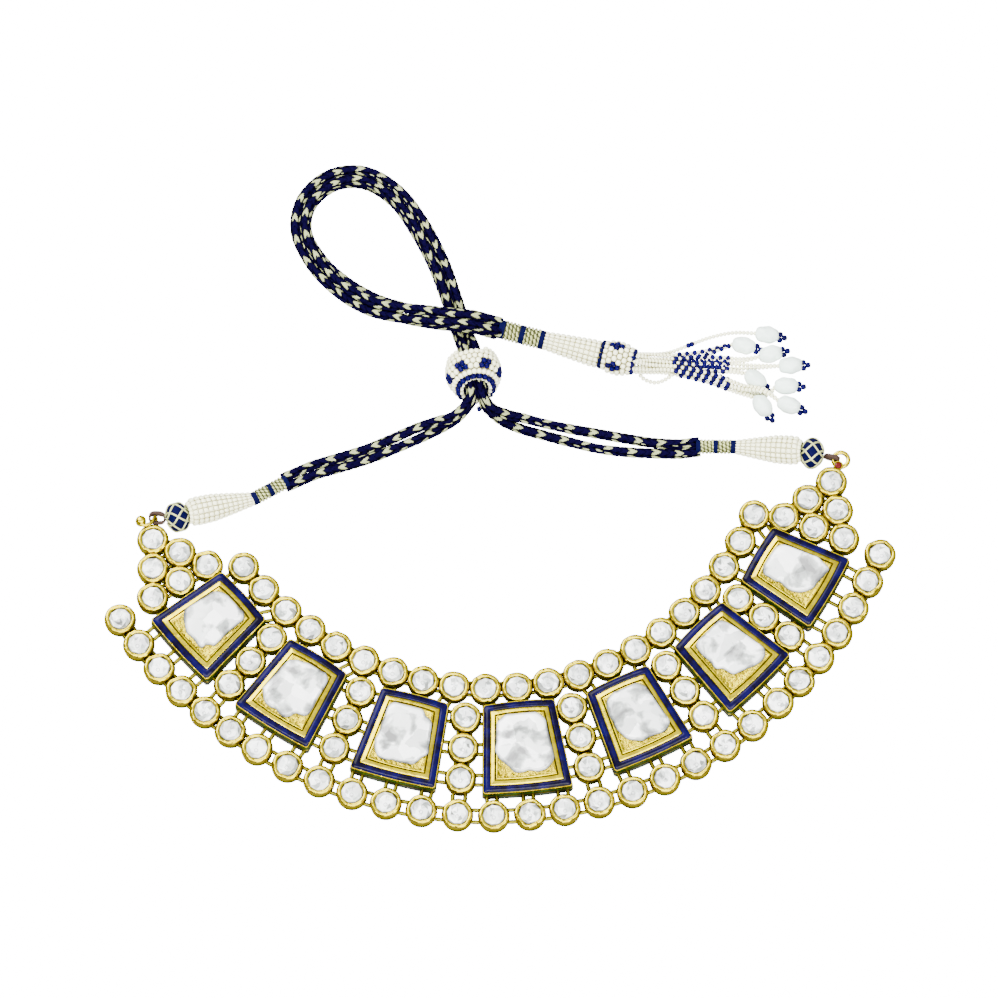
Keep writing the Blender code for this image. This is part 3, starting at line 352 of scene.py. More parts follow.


# Three darker copies of the gold are painted shade: on the cups' outer flanks, on the walls, and in
# creases, grooves and undersides.
gold, bevel_gold, flank_shade_gold, wire_gold, wall_shade_gold, field_gold, painted_shade_gold = (
    gold_finish(*values) for values in (
        ("kundan_gold", (0.53, 0.425, 0.0), (0.17, 0.135, 0.026), 0.16, 0.55, 0.20),
        ("bevel_gold", (0.46, 0.37, 0.0), (0.15, 0.118, 0.018), 0.23, 0.35, 0.12),
        ("painted_flank_shade", (0.42, 0.345, 0.032), (0.12, 0.095, 0.020), 0.24, 0.9, 0.16),
        ("link_gold", (0.13, 0.115, 0.008), (0.020, 0.017, 0.001), 0.34, 1.2, 0.05),
        ("wall_shade_gold", (0.22, 0.185, 0.030), (0.04, 0.032, 0.006), 0.34, 1.2, 0.08),
        ("chased_gold", (0.45, 0.355, 0.0), (0.13, 0.100, 0.016), 0.20, 1.2, 0.50),
        ("painted_deep_shade", (0.05, 0.035, 0.002), (0.010, 0.007, 0.0), 0.45, 1.5, 0.05),
    )
)
blue_enamel = enamel_finish("blue_enamel", (0.0008, 0.0001, 0.006), (0.0020, 0.0003, 0.034))
green_enamel = enamel_finish("green_enamel", (0.003, 0.010, 0.001), (0.018, 0.048, 0.003))
polki = stone_finish("uncut_stone", 0.20, 0.19, 0.20, False)
small_polki = stone_finish("small_uncut_stone", 0.40, 0.32, 0.66, True)
print("finishes made:", len(bpy.data.materials))

# %% [markdown]
# ## The braided cords
# Each strand is a round braid of navy silk in which a few pale yarns come to the surface as
# small chevrons. Round a braid the yarns slant one way in one column and the other way in
# the next, so a stitch's place is its distance along the strand plus a zigzag round it.
# The surface rises over the middle of each stitch and sinks between stitches. The route
# is the one that the solids follow: rows of x, y and the height of the underside over the
# table in metres, how many pitches apart two strands lie, and their roll in degrees.

# %% The routes of the strands
CORD = 2.4  # diameter in mm
STRAND_PITCH = CORD + 0.2
LEFT_ROUTE = np.array([
    (-0.0525, 0.0732, 0.0001, 1.00, 0),
    (-0.0460, 0.0752, 0.0001, 1.00, 0),
    (-0.0390, 0.0775, 0.0001, 1.00, 0),
    (-0.0325, 0.0801, 0.0001, 1.00, 12),
    (-0.0265, 0.0827, 0.0001, 1.06, 32),
    (-0.0210, 0.0849, 0.0001, 1.08, 62),
    (-0.0174, 0.0863, 0.0009, 1.04, 84),
    (-0.0144, 0.0884, 0.0032, 1.04, 90),
])
RIGHT_ROUTE = np.array([
    (0.0390, 0.0789, 0.0001, 1.00, 180),
    (0.0326, 0.0791, 0.0001, 1.08, 180),
    (0.0260, 0.0798, 0.0001, 1.35, 180),
    (0.0190, 0.0809, 0.0001, 1.50, 180),
    (0.0120, 0.0824, 0.0001, 1.30, 178),
    (0.0056, 0.0839, 0.0001, 1.12, 168),
    (0.0000, 0.0853, 0.0001, 1.10, 145),
    (-0.0046, 0.0866, 0.0007, 1.10, 116),
    (-0.0084, 0.0883, 0.0030, 1.08, 92),
])
BUNDLE_ROUTE = np.array([
    (-0.01155, 0.0911, 0.00485, 1.00, 0),
    (-0.0123, 0.0964, 0.0049, 1.00, 0),
    (-0.01305, 0.1019, 0.00475, 1.00, 0),
    (-0.0143, 0.1066, 0.0011, 1.00, 0),
    (-0.0158, 0.1114, 0.0001, 1.00, 0),
    (-0.0182, 0.1192, 0.0001, 1.00, 0),
    (-0.0213, 0.1280, 0.0001, 1.00, 6),
    (-0.0260, 0.1376, 0.0001, 1.00, 6),
    (-0.0319, 0.1461, 0.0001, 1.00, 0),
    (-0.0398, 0.1512, 0.0001, 1.00, 0),
    (-0.0482, 0.1506, 0.0001, 1.00, 0),
    (-0.0546, 0.1448, 0.0001, 1.00, 0),
    (-0.0560, 0.1366, 0.0001, 1.00, 8),
    (-0.0520, 0.1282, 0.0001, 1.02, 24),
    (-0.0455, 0.1214, 0.0001, 1.04, 42),
    (-0.0380, 0.1168, 0.0001, 1.04, 42),
    (-0.0306, 0.1139, 0.0022, 1.04, 24),
    (-0.0246, 0.1119, 0.0052, 1.02, 4),
    (-0.0188, 0.1108, 0.0062, 1.00, 0),
    (-0.0130, 0.1103, 0.0060, 1.00, 0),
    (-0.0073, 0.1098, 0.0032, 1.00, 0),
])


def unit(vectors):
    """Vectors of length one along the last axis."""
    return vectors / np.linalg.norm(vectors, axis=-1, keepdims=True)


def heading(turn, slope=0.0):
    """The direction at this turn from +X in degrees, climbing at this slope in degrees."""
    turn, slope = math.radians(turn), math.radians(slope)
    level = math.cos(slope)
    return np.array([level * math.cos(turn), level * math.sin(turn), math.sin(slope)])


def fan(side, up, angle):
    """Directions at these angles from side towards up: side cos + up sin."""
    return side * np.cos(angle)[..., None] + up * np.sin(angle)[..., None]


def round_axis(run, angle):
    """Directions round an axis. The one at 90 degrees points up."""
    side = unit(np.cross(run, [0.0, 0.0, 1.0]))
    return fan(side, np.cross(side, run), angle)


def laid(rows, pairs):
    """A route's middle line, with how far and which way its strands lie apart.

    The underside's height plus half of what the rolled strands reach up to is the
    middle's height. Roll turns the strands' spacing round the run of the line.
    """
    middle = rows[:, :3].copy()
    roll = np.radians(rows[:, 4])[:, None]
    apart = rows[:, 3][:, None] * STRAND_PITCH
    rise = apart * np.abs(np.sin(roll))
    if pairs == 2:
        rise = rise + apart * np.abs(np.cos(roll))
    middle[:, 2] += (rise[:, 0] + CORD) / 2
    run = unit(np.gradient(middle, axis=0))
    flat = unit(np.gradient(middle[:, :2], axis=0))
    side = np.column_stack([-flat[:, 1], flat[:, 0], np.zeros(len(flat))])
    up = np.cross(run, side)
    first = (np.cos(roll) * side + np.sin(roll) * up) * apart
    second = (np.cos(roll) * up - np.sin(roll) * side) * apart
    return middle, first, second


def in_mm(route):
    """A route with its places in mm."""
    return route * np.array([1 / MM, 1 / MM, 1 / MM, 1, 1])


def smooth_line(points, count):
    """Points at even steps along a smooth curve through the given ones (Catmull-Rom).

    Between two points the place is half of 2 p1 + (p2 - p0) t
    + (2 p0 - 5 p1 + 4 p2 - p3) t squared + (3 p1 - p0 - 3 p2 + p3) t cubed.
    """
    table = np.asarray(points, float)
    padded = np.vstack([2 * table[0] - table[1], table, 2 * table[-1] - table[-2]])
    p0, p1, p2, p3 = (padded[i : i + len(table) - 1, None] for i in range(4))
    t = np.linspace(0, 1, 24, endpoint=False)[None, :, None]
    bend = (2 * p0 - 5 * p1 + 4 * p2 - p3) * t**2
    dense = p1 + 0.5 * ((p2 - p0) * t + bend + (3 * p1 - p0 - 3 * p2 + p3) * t**3)
    dense = np.vstack([dense.reshape(-1, table.shape[1]), table[-1:]])
    steps = np.linalg.norm(np.diff(dense[:, :3], axis=0), axis=1)
    length = np.concatenate([[0], np.cumsum(steps)])
    places = np.linspace(0, length[-1], count)
    return np.column_stack([np.interp(places, length, column) for column in dense.T])


def length_of(line):
    """The length of a line of points."""
    return float(np.linalg.norm(np.diff(line[:, :3], axis=0), axis=1).sum())


# %% Where the two trains at the ends of the choker run
CLEARANCE = 0.3
LEFT_TIP, RIGHT_TIP = np.array([-92.44, 54.31]), np.array([77.21, 69.55])
BALL_WIDTH, BALL_LENGTH = 7.4, 5.6
SLEEVE_LENGTH, SLEEVE_NECK = 15.8, 3.6
SHOULDER_PLACE, SHOULDER_WIDTH = 5.6, 7.2  # where the sleeve's slanting side starts
WRAP_WIDTH, WRAP_LENGTH = 3.6, 9.0


def train(tip, ball, turn, wrap_turn):
    """Places and directions of the ball, sleeve and wrap at one end of the choker.

    The ball's middle is given from the last collet's, and the turns of the sleeve and the
    wrap in degrees. The sleeve lies on the table along its slanting side, so its axis dips
    by the angle whose sine is the drop in radius over the length of that side.
    """
    way = heading(turn)
    ball_middle = np.array([*(tip + ball), BALL_WIDTH / 2])
    drop = (SHOULDER_WIDTH - SLEEVE_NECK) / 2
    dip = math.asin(drop / (SLEEVE_LENGTH - SHOULDER_PLACE))
    sleeve = ball_middle + way * (BALL_LENGTH / 2 + 2 * CLEARANCE)
    sleeve[2] = SHOULDER_PLACE * math.sin(dip) + SHOULDER_WIDTH / 2 * math.cos(dip) + 0.04
    run = heading(turn, -math.degrees(dip))
    lean = math.radians(abs(wrap_turn - turn))
    wrap = sleeve + run * (SLEEVE_LENGTH + 1.5 * CLEARANCE + WRAP_WIDTH / 2 * math.sin(lean))
    wrap[2] = WRAP_WIDTH / 2
    return {
        "ball": ball_middle, "way": way, "sleeve": sleeve, "run": run,
        "wrap": wrap, "out": heading(wrap_turn),
    }


left = train(LEFT_TIP, np.array([6.14, 5.69]), 16.3, 29.3)
right = train(RIGHT_TIP, np.array([-4.81, 7.35]), 173.0, 179.5)
print("left cords start at", left["wrap"] + left["out"] * WRAP_LENGTH)


# %% The four strands' lines
def strand_lines():
    """Each pair's stretch, then the bundle's: middle lines as in the solids."""
    bundle, pair_way, strand_way = laid(in_mm(BUNDLE_ROUTE), 2)
    lines = []
    for end, route, pair in ((left, LEFT_ROUTE, 0.5), (right, RIGHT_ROUTE, -0.5)):
        way = in_mm(route)
        start = end["wrap"] + end["out"] * (WRAP_LENGTH + 3 * CLEARANCE)
        mouth = bundle[0] + pair * pair_way[0]
        first = (start[0], start[1], way[0, 2], 1.0, way[0, 4])
        last = (mouth[0], mouth[1], BUNDLE_ROUTE[0, 2] / MM, 1.0, 90)
        middle, across, _ = laid(np.vstack([first, way, last]), 1)
        for strand in (0.5, -0.5):
            along_pair = middle[:-1] + strand * across[:-1]
            along_bundle = bundle + pair * pair_way + strand * strand_way
            lines.append(np.vstack([along_pair, along_bundle]))
    return lines


STITCH = 1.95  # mm along the strand


def sides_of(line):
    """Two directions square to a line at each point: one level and one upright."""
    run = unit(np.gradient(line, axis=0))
    side = unit(np.cross([0.0, 0.0, 1.0], run))
    return side, np.cross(run, side)


def braid(line, shift):
    """A square braid's surface and its pattern along a line.

    Four columns of stitches run along the strand. The phase of a stitch is length over
    STITCH less 0.75 times a zigzag with a peak at each column's edge, so a stitch is a
    chevron. Every third chevron is pale, and the next column's are one further on.
    """
    cols = 33
    length = np.concatenate([[0], np.cumsum(np.linalg.norm(np.diff(line, axis=0), axis=1))])
    turn = np.linspace(0, 1, cols)[None, :]
    drift = 0.05 * np.sin(length / 6.5 + shift) + 0.03 * np.sin(length / 2.9 + 2 * shift)
    spot = 4 * (turn + drift[:, None])
    zigzag = np.abs(2 * (spot % 1) - 1)
    loose = 0.10 * np.sin(length / 4.3 + 1.7 * shift)
    phase = length[:, None] / STITCH + loose[:, None] - 0.75 * zigzag
    column = np.sin(np.pi * (spot % 1)) ** 0.5
    stitch = np.abs(np.sin(np.pi * phase)) ** 0.5
    rise = column * stitch
    radius = CORD / 2 * (0.93 + 0.19 * rise)
    side, up = sides_of(line)
    out = fan(side[:, None], up[:, None], 2 * np.pi * (turn + 0.125))
    points = line[:, None] + out * radius[..., None]
    points[:, -1] = points[:, 0]
    number = np.floor(phase) + shift + np.floor(spot)
    pale = (number % 3 < 1) & (rise > 0.48)
    return points, pale, phase, rise


# %% Silk and its pale yarns
def silk_finish(name, navy, pale):
    """Navy silk with pale stitches where the tone is high, and fine plies along each yarn."""
    made, tree, shader = new_finish(name, navy, 0.85)
    shader.inputs["Specular IOR Level"].default_value = 0.01
    tone = add(tree, "ShaderNodeAttribute", use_attribute_name="tone")
    place = add(tree, "ShaderNodeUVMap", use_uv_map="lay")
    split = add(tree, "ShaderNodeSeparateXYZ", [("Vector", place.outputs["UV"])])
    plies = math_node(tree, "MULTIPLY", split.outputs["X"], 2 * math.pi * 5)
    ply = math_node(tree, "MULTIPLY", math_node(tree, "SINE", plies), 0.3)
    # Painted shade: the silk turns dark where its surface sinks between stitches.
    deep = ramp(tree, split.outputs["Y"], [(0.22, 0.03), (0.60, 1.0)])
    fuzz = object_noise(tree, 3.0)
    dark = ramp(tree, fuzz, [(0.35, tuple(0.45 * c for c in navy)), (0.65, navy)])
    light = ramp(tree, fuzz, [(0.3, tuple(0.6 * c for c in pale)), (0.6, pale)])
    colour = mix_colour(tree, tone.outputs["Fac"], dark, light, way="MIX")
    height = math_node(tree, "ADD", ply, fuzz)
    dress(tree, shader, mix_colour(tree, 1.0, colour, deep), height, 0.06)
    return made


silk = silk_finish("navy_silk", (0.0020, 0.0003, 0.017), (0.35, 0.38, 0.18))
for i, line in enumerate(strand_lines()):
    ends = [line[0] - 1.3 * unit(line[1] - line[0]), line[-1] + 1.3 * unit(line[-1] - line[-2])]
    fine = smooth_line(np.vstack([ends[0], line, ends[1]]), int(length_of(line) / 0.18))
    points, pale, phase, rise = braid(fine, 2 * i + i // 2)
    uv = np.stack([phase, rise], axis=-1)
    surface = sheet(points, tone=pale[:-1, :-1], uv=uv)
    made = new_piece(f"braid_{i + 1}", [surface], [silk], "navy_silk", f"cord_{i + 1}")

# %% [markdown]
# ## Where the medallions and collets lie
# The medallions' middles lie on a curve whose turn changes evenly from one to the next.
# Rows of collets follow it at a distance on either side, columns of three stand between
# the medallions, and a triangle of six closes each end.

# %% The curve through the medallions
TURNS = np.radians([-48.3, -32.6, -14.7, 5.6, 25.0, 44.9, 60.0])
SHARES = np.array([0.95, 0.97, 0.99, 1.04, 0.97, 0.97, 0.92])  # of the full size below
NECK_WIDTH, OUTER_WIDTH, DEPTH = 16.9, 21.4, 21.8
COLUMN_GAPS = np.array([0.85, 1.7, 1.45, 1.1, 1.25, 0.55])  # on both sides of each column
COLLET = 7.5
COLUMN_PITCH = 7.95
STEPS = 80  # along the curve from one medallion to the next


def spine():
    """Units, x, y and turn along the curve: each small step goes on at the turn between."""
    widths = SHARES * (NECK_WIDTH + OUTER_WIDTH) / 2
    pitches = (widths[1:] + widths[:-1]) / 2 + COLLET + 2 * COLUMN_GAPS
    units = np.linspace(-4, 4, 8 * STEPS + 1)
    turns = np.concatenate([[2 * TURNS[0] - TURNS[1]], TURNS, [2 * TURNS[-1] - TURNS[-2]]])
    turn = np.interp(units, np.arange(-4, 5), turns)
    middle = (units[1:] + units[:-1]) / 2
    stretch = np.clip(np.floor(middle).astype(int) + 3, 0, 5)
    run = pitches[stretch] / STEPS
    bend = (turn[1:] + turn[:-1]) / 2
    x = np.concatenate([[0], np.cumsum(run * np.cos(bend))])
    y = np.concatenate([[0], np.cumsum(run * np.sin(bend))])
    return units, x - x[4 * STEPS], y - y[4 * STEPS], turn


UNITS, SPINE_X, SPINE_Y, SPINE_TURN = spine()


def offset_curve(toward_neck):
    """The x and y of the curve, moved this far square to itself towards the neck."""
    x = SPINE_X - toward_neck * np.sin(SPINE_TURN)
    y = SPINE_Y + toward_neck * np.cos(SPINE_TURN)
    return x, y


def beside(units, toward_neck):
    """Places and turns at these units, this far from the curve towards the neck."""
    x, y = offset_curve(toward_neck)
    places = np.column_stack([np.interp(units, UNITS, x), np.interp(units, UNITS, y)])
    return places, np.interp(units, UNITS, SPINE_TURN)


def lengths_beside(toward_neck):
    """The length along the line at this distance, counted from its middle."""
    x, y = offset_curve(toward_neck)
    length = np.concatenate([[0], np.cumsum(np.hypot(np.diff(x), np.diff(y)))])
    return length - length[len(length) // 2]


# %% Rows, columns and triangles
NECK_GAP, OUTER_GAP = 1.0, 2.5  # from the medallions to the rows on either side
NECK_SIDE = DEPTH / 2 + NECK_GAP + COLLET / 2
OUTER_SIDE = DEPTH / 2 + OUTER_GAP + COLLET / 2
NECK_PITCH, LEAST_PITCH = COLLET + 0.33, COLLET + 0.2  # of the neck's row, and least of the other


def neck_row():
    """The 21 collets of the neck-side row, at even steps of length."""
    spots = np.interp(np.arange(-10, 11) * NECK_PITCH, lengths_beside(NECK_SIDE), UNITS)
    return beside(spots, NECK_SIDE)


def outer_row():
    """The collets of the outer row: as many to a medallion as fit, at even units."""
    ends = np.interp(np.arange(-3, 4), UNITS, lengths_beside(-OUTER_SIDE))
    per_unit = int(np.diff(ends).min() / LEAST_PITCH)
    last = int(3.5 * per_unit)
    return beside(np.arange(-last, last + 1) / per_unit, -OUTER_SIDE)


def column(k):
    """The three collets between medallions k and k + 1."""
    steps = [beside(k - 2.5, offset)[0][0] for offset in (COLUMN_PITCH, 0.0, -COLUMN_PITCH)]
    return np.array(steps), np.full(3, beside(k - 2.5, 0.0)[1])


def rotation(turn):
    """The 2 by 2 matrix of a turn in radians."""
    return np.array([[math.cos(turn), -math.sin(turn)], [math.sin(turn), math.cos(turn)]])


ROW_STEP = 6.5  # from row to row of an end triangle
TRIANGLE_GAP, TRIANGLE_RISE = 0.9, 0.8  # off the medallion's side, and towards the neck
TRIANGLE_TILT = 9.5  # degrees


def triangle(k, sign):
    """Rows of 3, 2 and 1 collets beside an end medallion, tilted towards the neck."""
    root = np.array([sign * SHARES[k] * (NECK_WIDTH + OUTER_WIDTH) / 4, TRIANGLE_RISE])
    tilt = rotation(sign * math.radians(TRIANGLE_TILT))
    middle = beside(k - 3.0, 0.0)[0][0]
    rows = []
    for i in range(3):
        out = sign * (TRIANGLE_GAP + COLLET / 2 + ROW_STEP * i)
        spots = [(out, (0.5 * (2 - i) - j) * COLUMN_PITCH) for j in range(3 - i)]
        local = root + np.array(spots) @ tilt.T
        rows.append(middle + local @ rotation(TURNS[k]).T)
    return rows


MEDALLIONS = beside(np.arange(-3.0, 4.0), 0.0)[0]
print("medallion middles, mm:", np.round(MEDALLIONS, 1).tolist())

# %% [markdown]
# ## Collets
# A collet is a small cup of gold with a band of green enamel round its wall. Its rim is
# pure gold foil, pressed over the edge of the stone by hand, so it is broad, rounded and
# never quite round. The cup is a profile turned round its axis. Sums of sine waves with
# seeded phases push the rim in and out, and each cup has its own.

# %% The cup's profile and the surface of many cups
random = np.random.default_rng(7)
CUP = np.array([  # radius and height, from the middle of the underside outwards and up
    (0.00, 0.00), (3.40, 0.00), (3.64, 0.10), (3.70, 0.36), (3.70, 0.50), (3.80, 0.62),
    (3.82, 0.92), (3.72, 1.02), (3.72, 1.20), (3.76, 2.00), (3.88, 2.12), (3.98, 2.45),
    (3.99, 2.85), (3.90, 3.35), (3.68, 3.78), (3.42, 4.02), (3.12, 4.06), (2.90, 3.90),
    (2.74, 3.62), (2.66, 3.30), (0.00, 3.10),
])
# Paint numbers index CUP_FINISHES. The wall, the rim's outer flank, the crease at the stone and the
# underside take darker golds, which are painted shade.
CUP_PAINT = np.array([4, 4, 3, 3, 3, 2, 2, 1, 1, 3, 5, 5, 5, 5, 0, 0, 0, 0, 4, 4])
LINK_PAINT = 2
SLOW_PUSH, QUICK_PUSH, QUICK_LIFT = 0.10, 0.045, 0.05  # how far waves move the rim
WAVES_FROM, WAVES_REACH = 2.2, 1.5  # the height where they begin, and over which they grow
CUP_FINISHES = [gold, green_enamel, wire_gold, wall_shade_gold, painted_shade_gold, flank_shade_gold]


def waves(count, angles, low, high):
    """For each of count copies, a sum of sine waves round the axis, about -1 to 1."""
    orders = np.arange(low, high + 1)
    size = random.normal(size=(count, 1, len(orders))) / np.sqrt(len(orders))
    phase = random.uniform(0, 2 * np.pi, size=(count, 1, len(orders)))
    return (size * np.sin(orders * angles[None, :, None] + phase)).sum(axis=-1)


def cups(places, turns):
    """Cups on the table: the profile turned round each place, with an uneven rim.

    Slow waves push the rim in and out, and quick ones push it less far, up and down too.
    All of them fade out towards the wall.
    """
    angles = np.linspace(0, 2 * np.pi, 41)
    grown = np.clip((CUP[:, 1] - WAVES_FROM) / WAVES_REACH, 0, 1)
    near_rim = (grown * (CUP[:, 0] > 1))[None, :, None]
    slow = waves(len(places), angles, 2, 5)[:, None, :] * near_rim
    quick = waves(len(places), angles, 7, 15)[:, None, :] * near_rim
    radius = CUP[None, :, 0:1] + SLOW_PUSH * slow + QUICK_PUSH * quick
    height = CUP[None, :, 1:2] + QUICK_LIFT * quick
    angle = angles + turns[:, None, None]
    x = places[:, 0, None, None] + radius * np.cos(angle)
    y = places[:, 1, None, None] + radius * np.sin(angle)
    return np.stack([x, y, np.broadcast_to(height, x.shape)], axis=-1)


# %% [markdown]
# The stone in a collet is a flat slice of diamond with a few uneven facets on top. Five
# rings of corners, pushed about at random, make it. Each face gets a tone of its own.

# %% The stones of many collets
# The outer rings' low tones are painted shade at the stone's edge, under the rim.
SMALL_RINGS = np.array([  # radius, height, skew, how far radius and height stray, tone inside
    (2.92, 3.12, 0.00, 0.00, 0.00, 0.05), (2.74, 3.56, 0.00, 0.01, 0.03, 0.24),
    (2.52, 3.74, 0.00, 0.04, 0.08, 0.54), (1.90, 3.96, 0.35, 0.14, 0.16, 0.66),
    (1.05, 4.08, 0.70, 0.22, 0.12, 0.84), (0.00, 4.10, 0.70, 0.00, 0.00, 0.00),
])
MAP_RADIUS = 2.85  # the radius that is 1 on the stone's own map
TONE_SPREAD, LEAST_TONE = 0.27, 0.04


def small_stones(places, turns):
    """Facets between nine-cornered rings, whose last is the middle point of the top."""
    rings, cols = len(SMALL_RINGS), 10
    radii, heights, skew, spread, rise, usual = SMALL_RINGS.T[:, None, :, None]
    angles = np.linspace(0, 2 * np.pi, cols) + np.zeros((len(places), rings, 1))
    angles = angles + random.uniform(0, 2 * np.pi, (len(places), 1, 1)) + skew
    loose = random.uniform(-1, 1, (len(places), rings, cols - 1))
    loose = np.concatenate([loose, loose[:, :, :1]], axis=2)
    radius = radii * (1 + loose * spread)
    height = heights + 0.5 * loose * rise
    across, along = radius * np.cos(angles), radius * np.sin(angles)
    uv = np.stack([across, along], axis=-1) / MAP_RADIUS
    tone = random.normal(usual[:, :-1], TONE_SPREAD, (len(places), rings - 1, cols - 1))
    cos, sin = np.cos(turns * 0.4)[:, None, None], np.sin(turns * 0.4)[:, None, None]
    x = places[:, 0, None, None] + across * cos - along * sin
    y = places[:, 1, None, None] + across * sin + along * cos
    points = np.stack([x, y, height], axis=-1)
    return sheet(points, tone=np.clip(tone, LEAST_TONE, 1.0), uv=uv, smooth=False)


# %% [markdown]
# ## Wire links
# Neighbouring collets are joined by flattened rings of wire, soldered low on their walls.
# From above each link shows as two short bars with a gap between them. A ring is a tube
# along a path with straight sides and round ends, all rings in one array.


# %% Flattened rings between two points
WALL = 3.62  # radius of a cup's wall at the height of its links
SINK = 0.9  # how far a link's end goes into the wall
LINK_WIDTH, LINK_WIRE, LINK_HEIGHT = 4.2, 1.12, 1.9
HANGER_WIDTH = 3.6  # of a link that joins a collet to a case
HANGER_REACH, HANGER_SINK = 4.2, 0.3  # its greatest gap, and how far it goes into the case
CORNER_KEEP = 1.6  # how far it stays off the case's corners
SLANT_STRETCH = (0.07, 0.93)  # the share of a slanting side that it keeps to


def links_between(starts, ends, width=LINK_WIDTH):
    """Tubes along flattened rings. The path is a superellipse of power 5 in its own plane.

    Its point at angle t is cos t and sin t times half the length and half the width, over
    the fifth root of their fifth powers' sum.
    """
    half = np.linalg.norm(ends - starts, axis=1)[:, None] / 2
    run = unit(ends - starts)
    side = np.column_stack([-run[:, 1], run[:, 0]])
    t = np.linspace(0, 2 * np.pi, 29)
    square = (np.abs(np.cos(t)) ** 5 + np.abs(np.sin(t)) ** 5) ** (-0.2)
    a = half * (square * np.cos(t))
    b = (width - LINK_WIRE) / 2 * square * np.sin(t)
    path = ((starts + ends) / 2)[:, None] + run[:, None] * a[..., None] + side[:, None] * b[:, None]
    away = fan(run[:, None], side[:, None], t)
    s = np.linspace(0, 2 * np.pi, 9)
    ring = path[:, :, None] + away[:, :, None] * (LINK_WIRE / 2 * np.cos(s))[:, None]
    rise = LINK_HEIGHT + LINK_WIRE / 2 * np.sin(s) * np.ones(ring.shape[:3])
    return np.concatenate([ring, rise[..., None]], axis=-1)


def links_of(a, b):
    """Links between cups at a and at b, with their ends sunk into the walls."""
    a, b = np.atleast_2d(a), np.atleast_2d(b)
    sunk = unit(b - a) * (WALL - SINK)
    return links_between(a + sunk, b - sunk)


def half_sizes(k):
    """Half the neck side's width, the outer side's and the depth of medallion k."""
    return SHARES[k] * np.array([NECK_WIDTH, OUTER_WIDTH, DEPTH]) / 2


def wall_points(centres, k, side):
    """The nearest points on one side of medallion k, kept off its corners."""
    local = (centres - MEDALLIONS[k]) @ rotation(TURNS[k])
    neck, outer, half = half_sizes(k)
    if side in ("neck", "outer"):
        width = neck if side == "neck" else outer
        x = np.clip(local[:, 0], CORNER_KEEP - width, width - CORNER_KEEP)
        y = np.full(len(x), half if side == "neck" else -half)
        found = np.column_stack([x, y])
    else:
        sign = 1 if side == "right" else -1
        low, high = np.array([sign * outer, -half]), np.array([sign * neck, half])
        run = high - low
        share = np.clip((local - low) @ run / (run @ run), *SLANT_STRETCH)
        found = low + share[:, None] * run
    return MEDALLIONS[k] + found @ rotation(TURNS[k]).T


def hangers(centres, k, side):
    """Links from cups to the wall of a medallion, for the cups that lie close enough."""
    targets = wall_points(centres, k, side)
    run = targets - centres
    far = np.linalg.norm(run, axis=1) - WALL
    near = (far < HANGER_REACH) & (far > 0.2)
    if not near.any():
        return []
    run = unit(run[near])
    starts, ends = centres[near] + run * (WALL - SINK), targets[near] + run * HANGER_SINK
    return [links_between(starts, ends, HANGER_WIDTH)]


# %% The strings of collets
def string(name, places, turns, links, node, extra=()):
    """The gold of a string and its stones, as two pieces for one solid."""
    body = [sheet(cups(places, turns), paint=CUP_PAINT[None, :, None])]
    body += [sheet(points, paint=LINK_PAINT) for points in links]
    body += [sheet(points) for points in extra]
    new_piece(f"{name}_gold", body, CUP_FINISHES, "kundan_gold", node, crease=50)
    stones = small_stones(places, turns)
    new_piece(f"{name}_stones", [stones], [small_polki], "uncut_stone", node)


upper, upper_turns = neck_row()
lower, lower_turns = outer_row()
upper_links = [links_of(upper[:-1], upper[1:])]
lower_links = [links_of(lower[:-1], lower[1:])]
for k in range(7):
    upper_links += hangers(upper, k, "neck")
    lower_links += hangers(lower, k, "outer")
string("upper_row", upper, upper_turns, upper_links, "upper_row")
string("lower_row", lower, lower_turns, lower_links, "lower_row")
for k in range(6):
    places, turns = column(k)
    nearest = lower[np.argmin(np.linalg.norm(lower - places[-1], axis=1))]
    ties = [links_of(places[:-1], places[1:]), links_of(places[-1], nearest)]
    ties += hangers(places, k, "right") + hangers(places, k + 1, "left")
    string(f"column_{k + 1}", places, turns, ties, f"column_{k + 1}")

# %% [markdown]
# ## Medallions
# Each medallion is a keystone case. From its edge inwards come a fine gold line, a border
# of blue enamel that swells a little, a polished gold bevel that climbs to a crest, and a
# chased field on which the stone lies. Its wall has two green enamel bands between gold
# lines. All of this is one profile carried along the keystone outline.


# %% The keystone outline and the profile of the case
EDGE_OUT = [0.60, 0.50, 0.45, 0.25, 0.45, 0.50, 0.60]  # how far each edge stands out, in mm
ARCH = 0.35  # rise of the neck side's and the outer side's arch


def keystone(k, inset):
    """Points on the outline of medallion k, one row for each inset, with clipped corners.

    The four slanting or arched sides move inwards by the inset along their own normals.
    """
    neck, outer, half = half_sizes(k)
    lean = (outer - neck) / (2 * half)
    inset = np.asarray(inset, float)[:, None]
    neck_y, outer_y = half - inset, inset - half
    neck_x = neck + lean * inset - inset * math.hypot(1, lean)
    outer_x = outer - lean * inset - inset * math.hypot(1, lean)
    clip = np.clip(0.45 - 0.2 * inset, 0.12, 0.6)
    corners = [
        (outer_x - clip, outer_y), (outer_x - lean * clip, outer_y + clip),
        (neck_x + lean * clip, neck_y - clip), (neck_x - clip, neck_y),
        (clip - neck_x, neck_y), (-neck_x - lean * clip, neck_y - clip),
        (lean * clip - outer_x, outer_y + clip), (clip - outer_x, outer_y),
    ]
    stops = np.stack([np.concatenate([x, y], axis=1) for x, y in corners + corners[:1]], axis=1)
    parts = []
    for i in range(8):
        t = np.linspace(0, 1, 14 if i % 2 else 2, endpoint=False)[None, :, None]
        part = stops[:, i : i + 1] * (1 - t) + stops[:, i + 1 : i + 2] * t
        if i in (3, 7):
            part[..., 1] += ARCH * (1 - (2 * t[..., 0] - 1) ** 2) * (1 if i == 3 else -1)
        parts.append(part)
    return np.concatenate(parts + [stops[:, -1:]], axis=1)
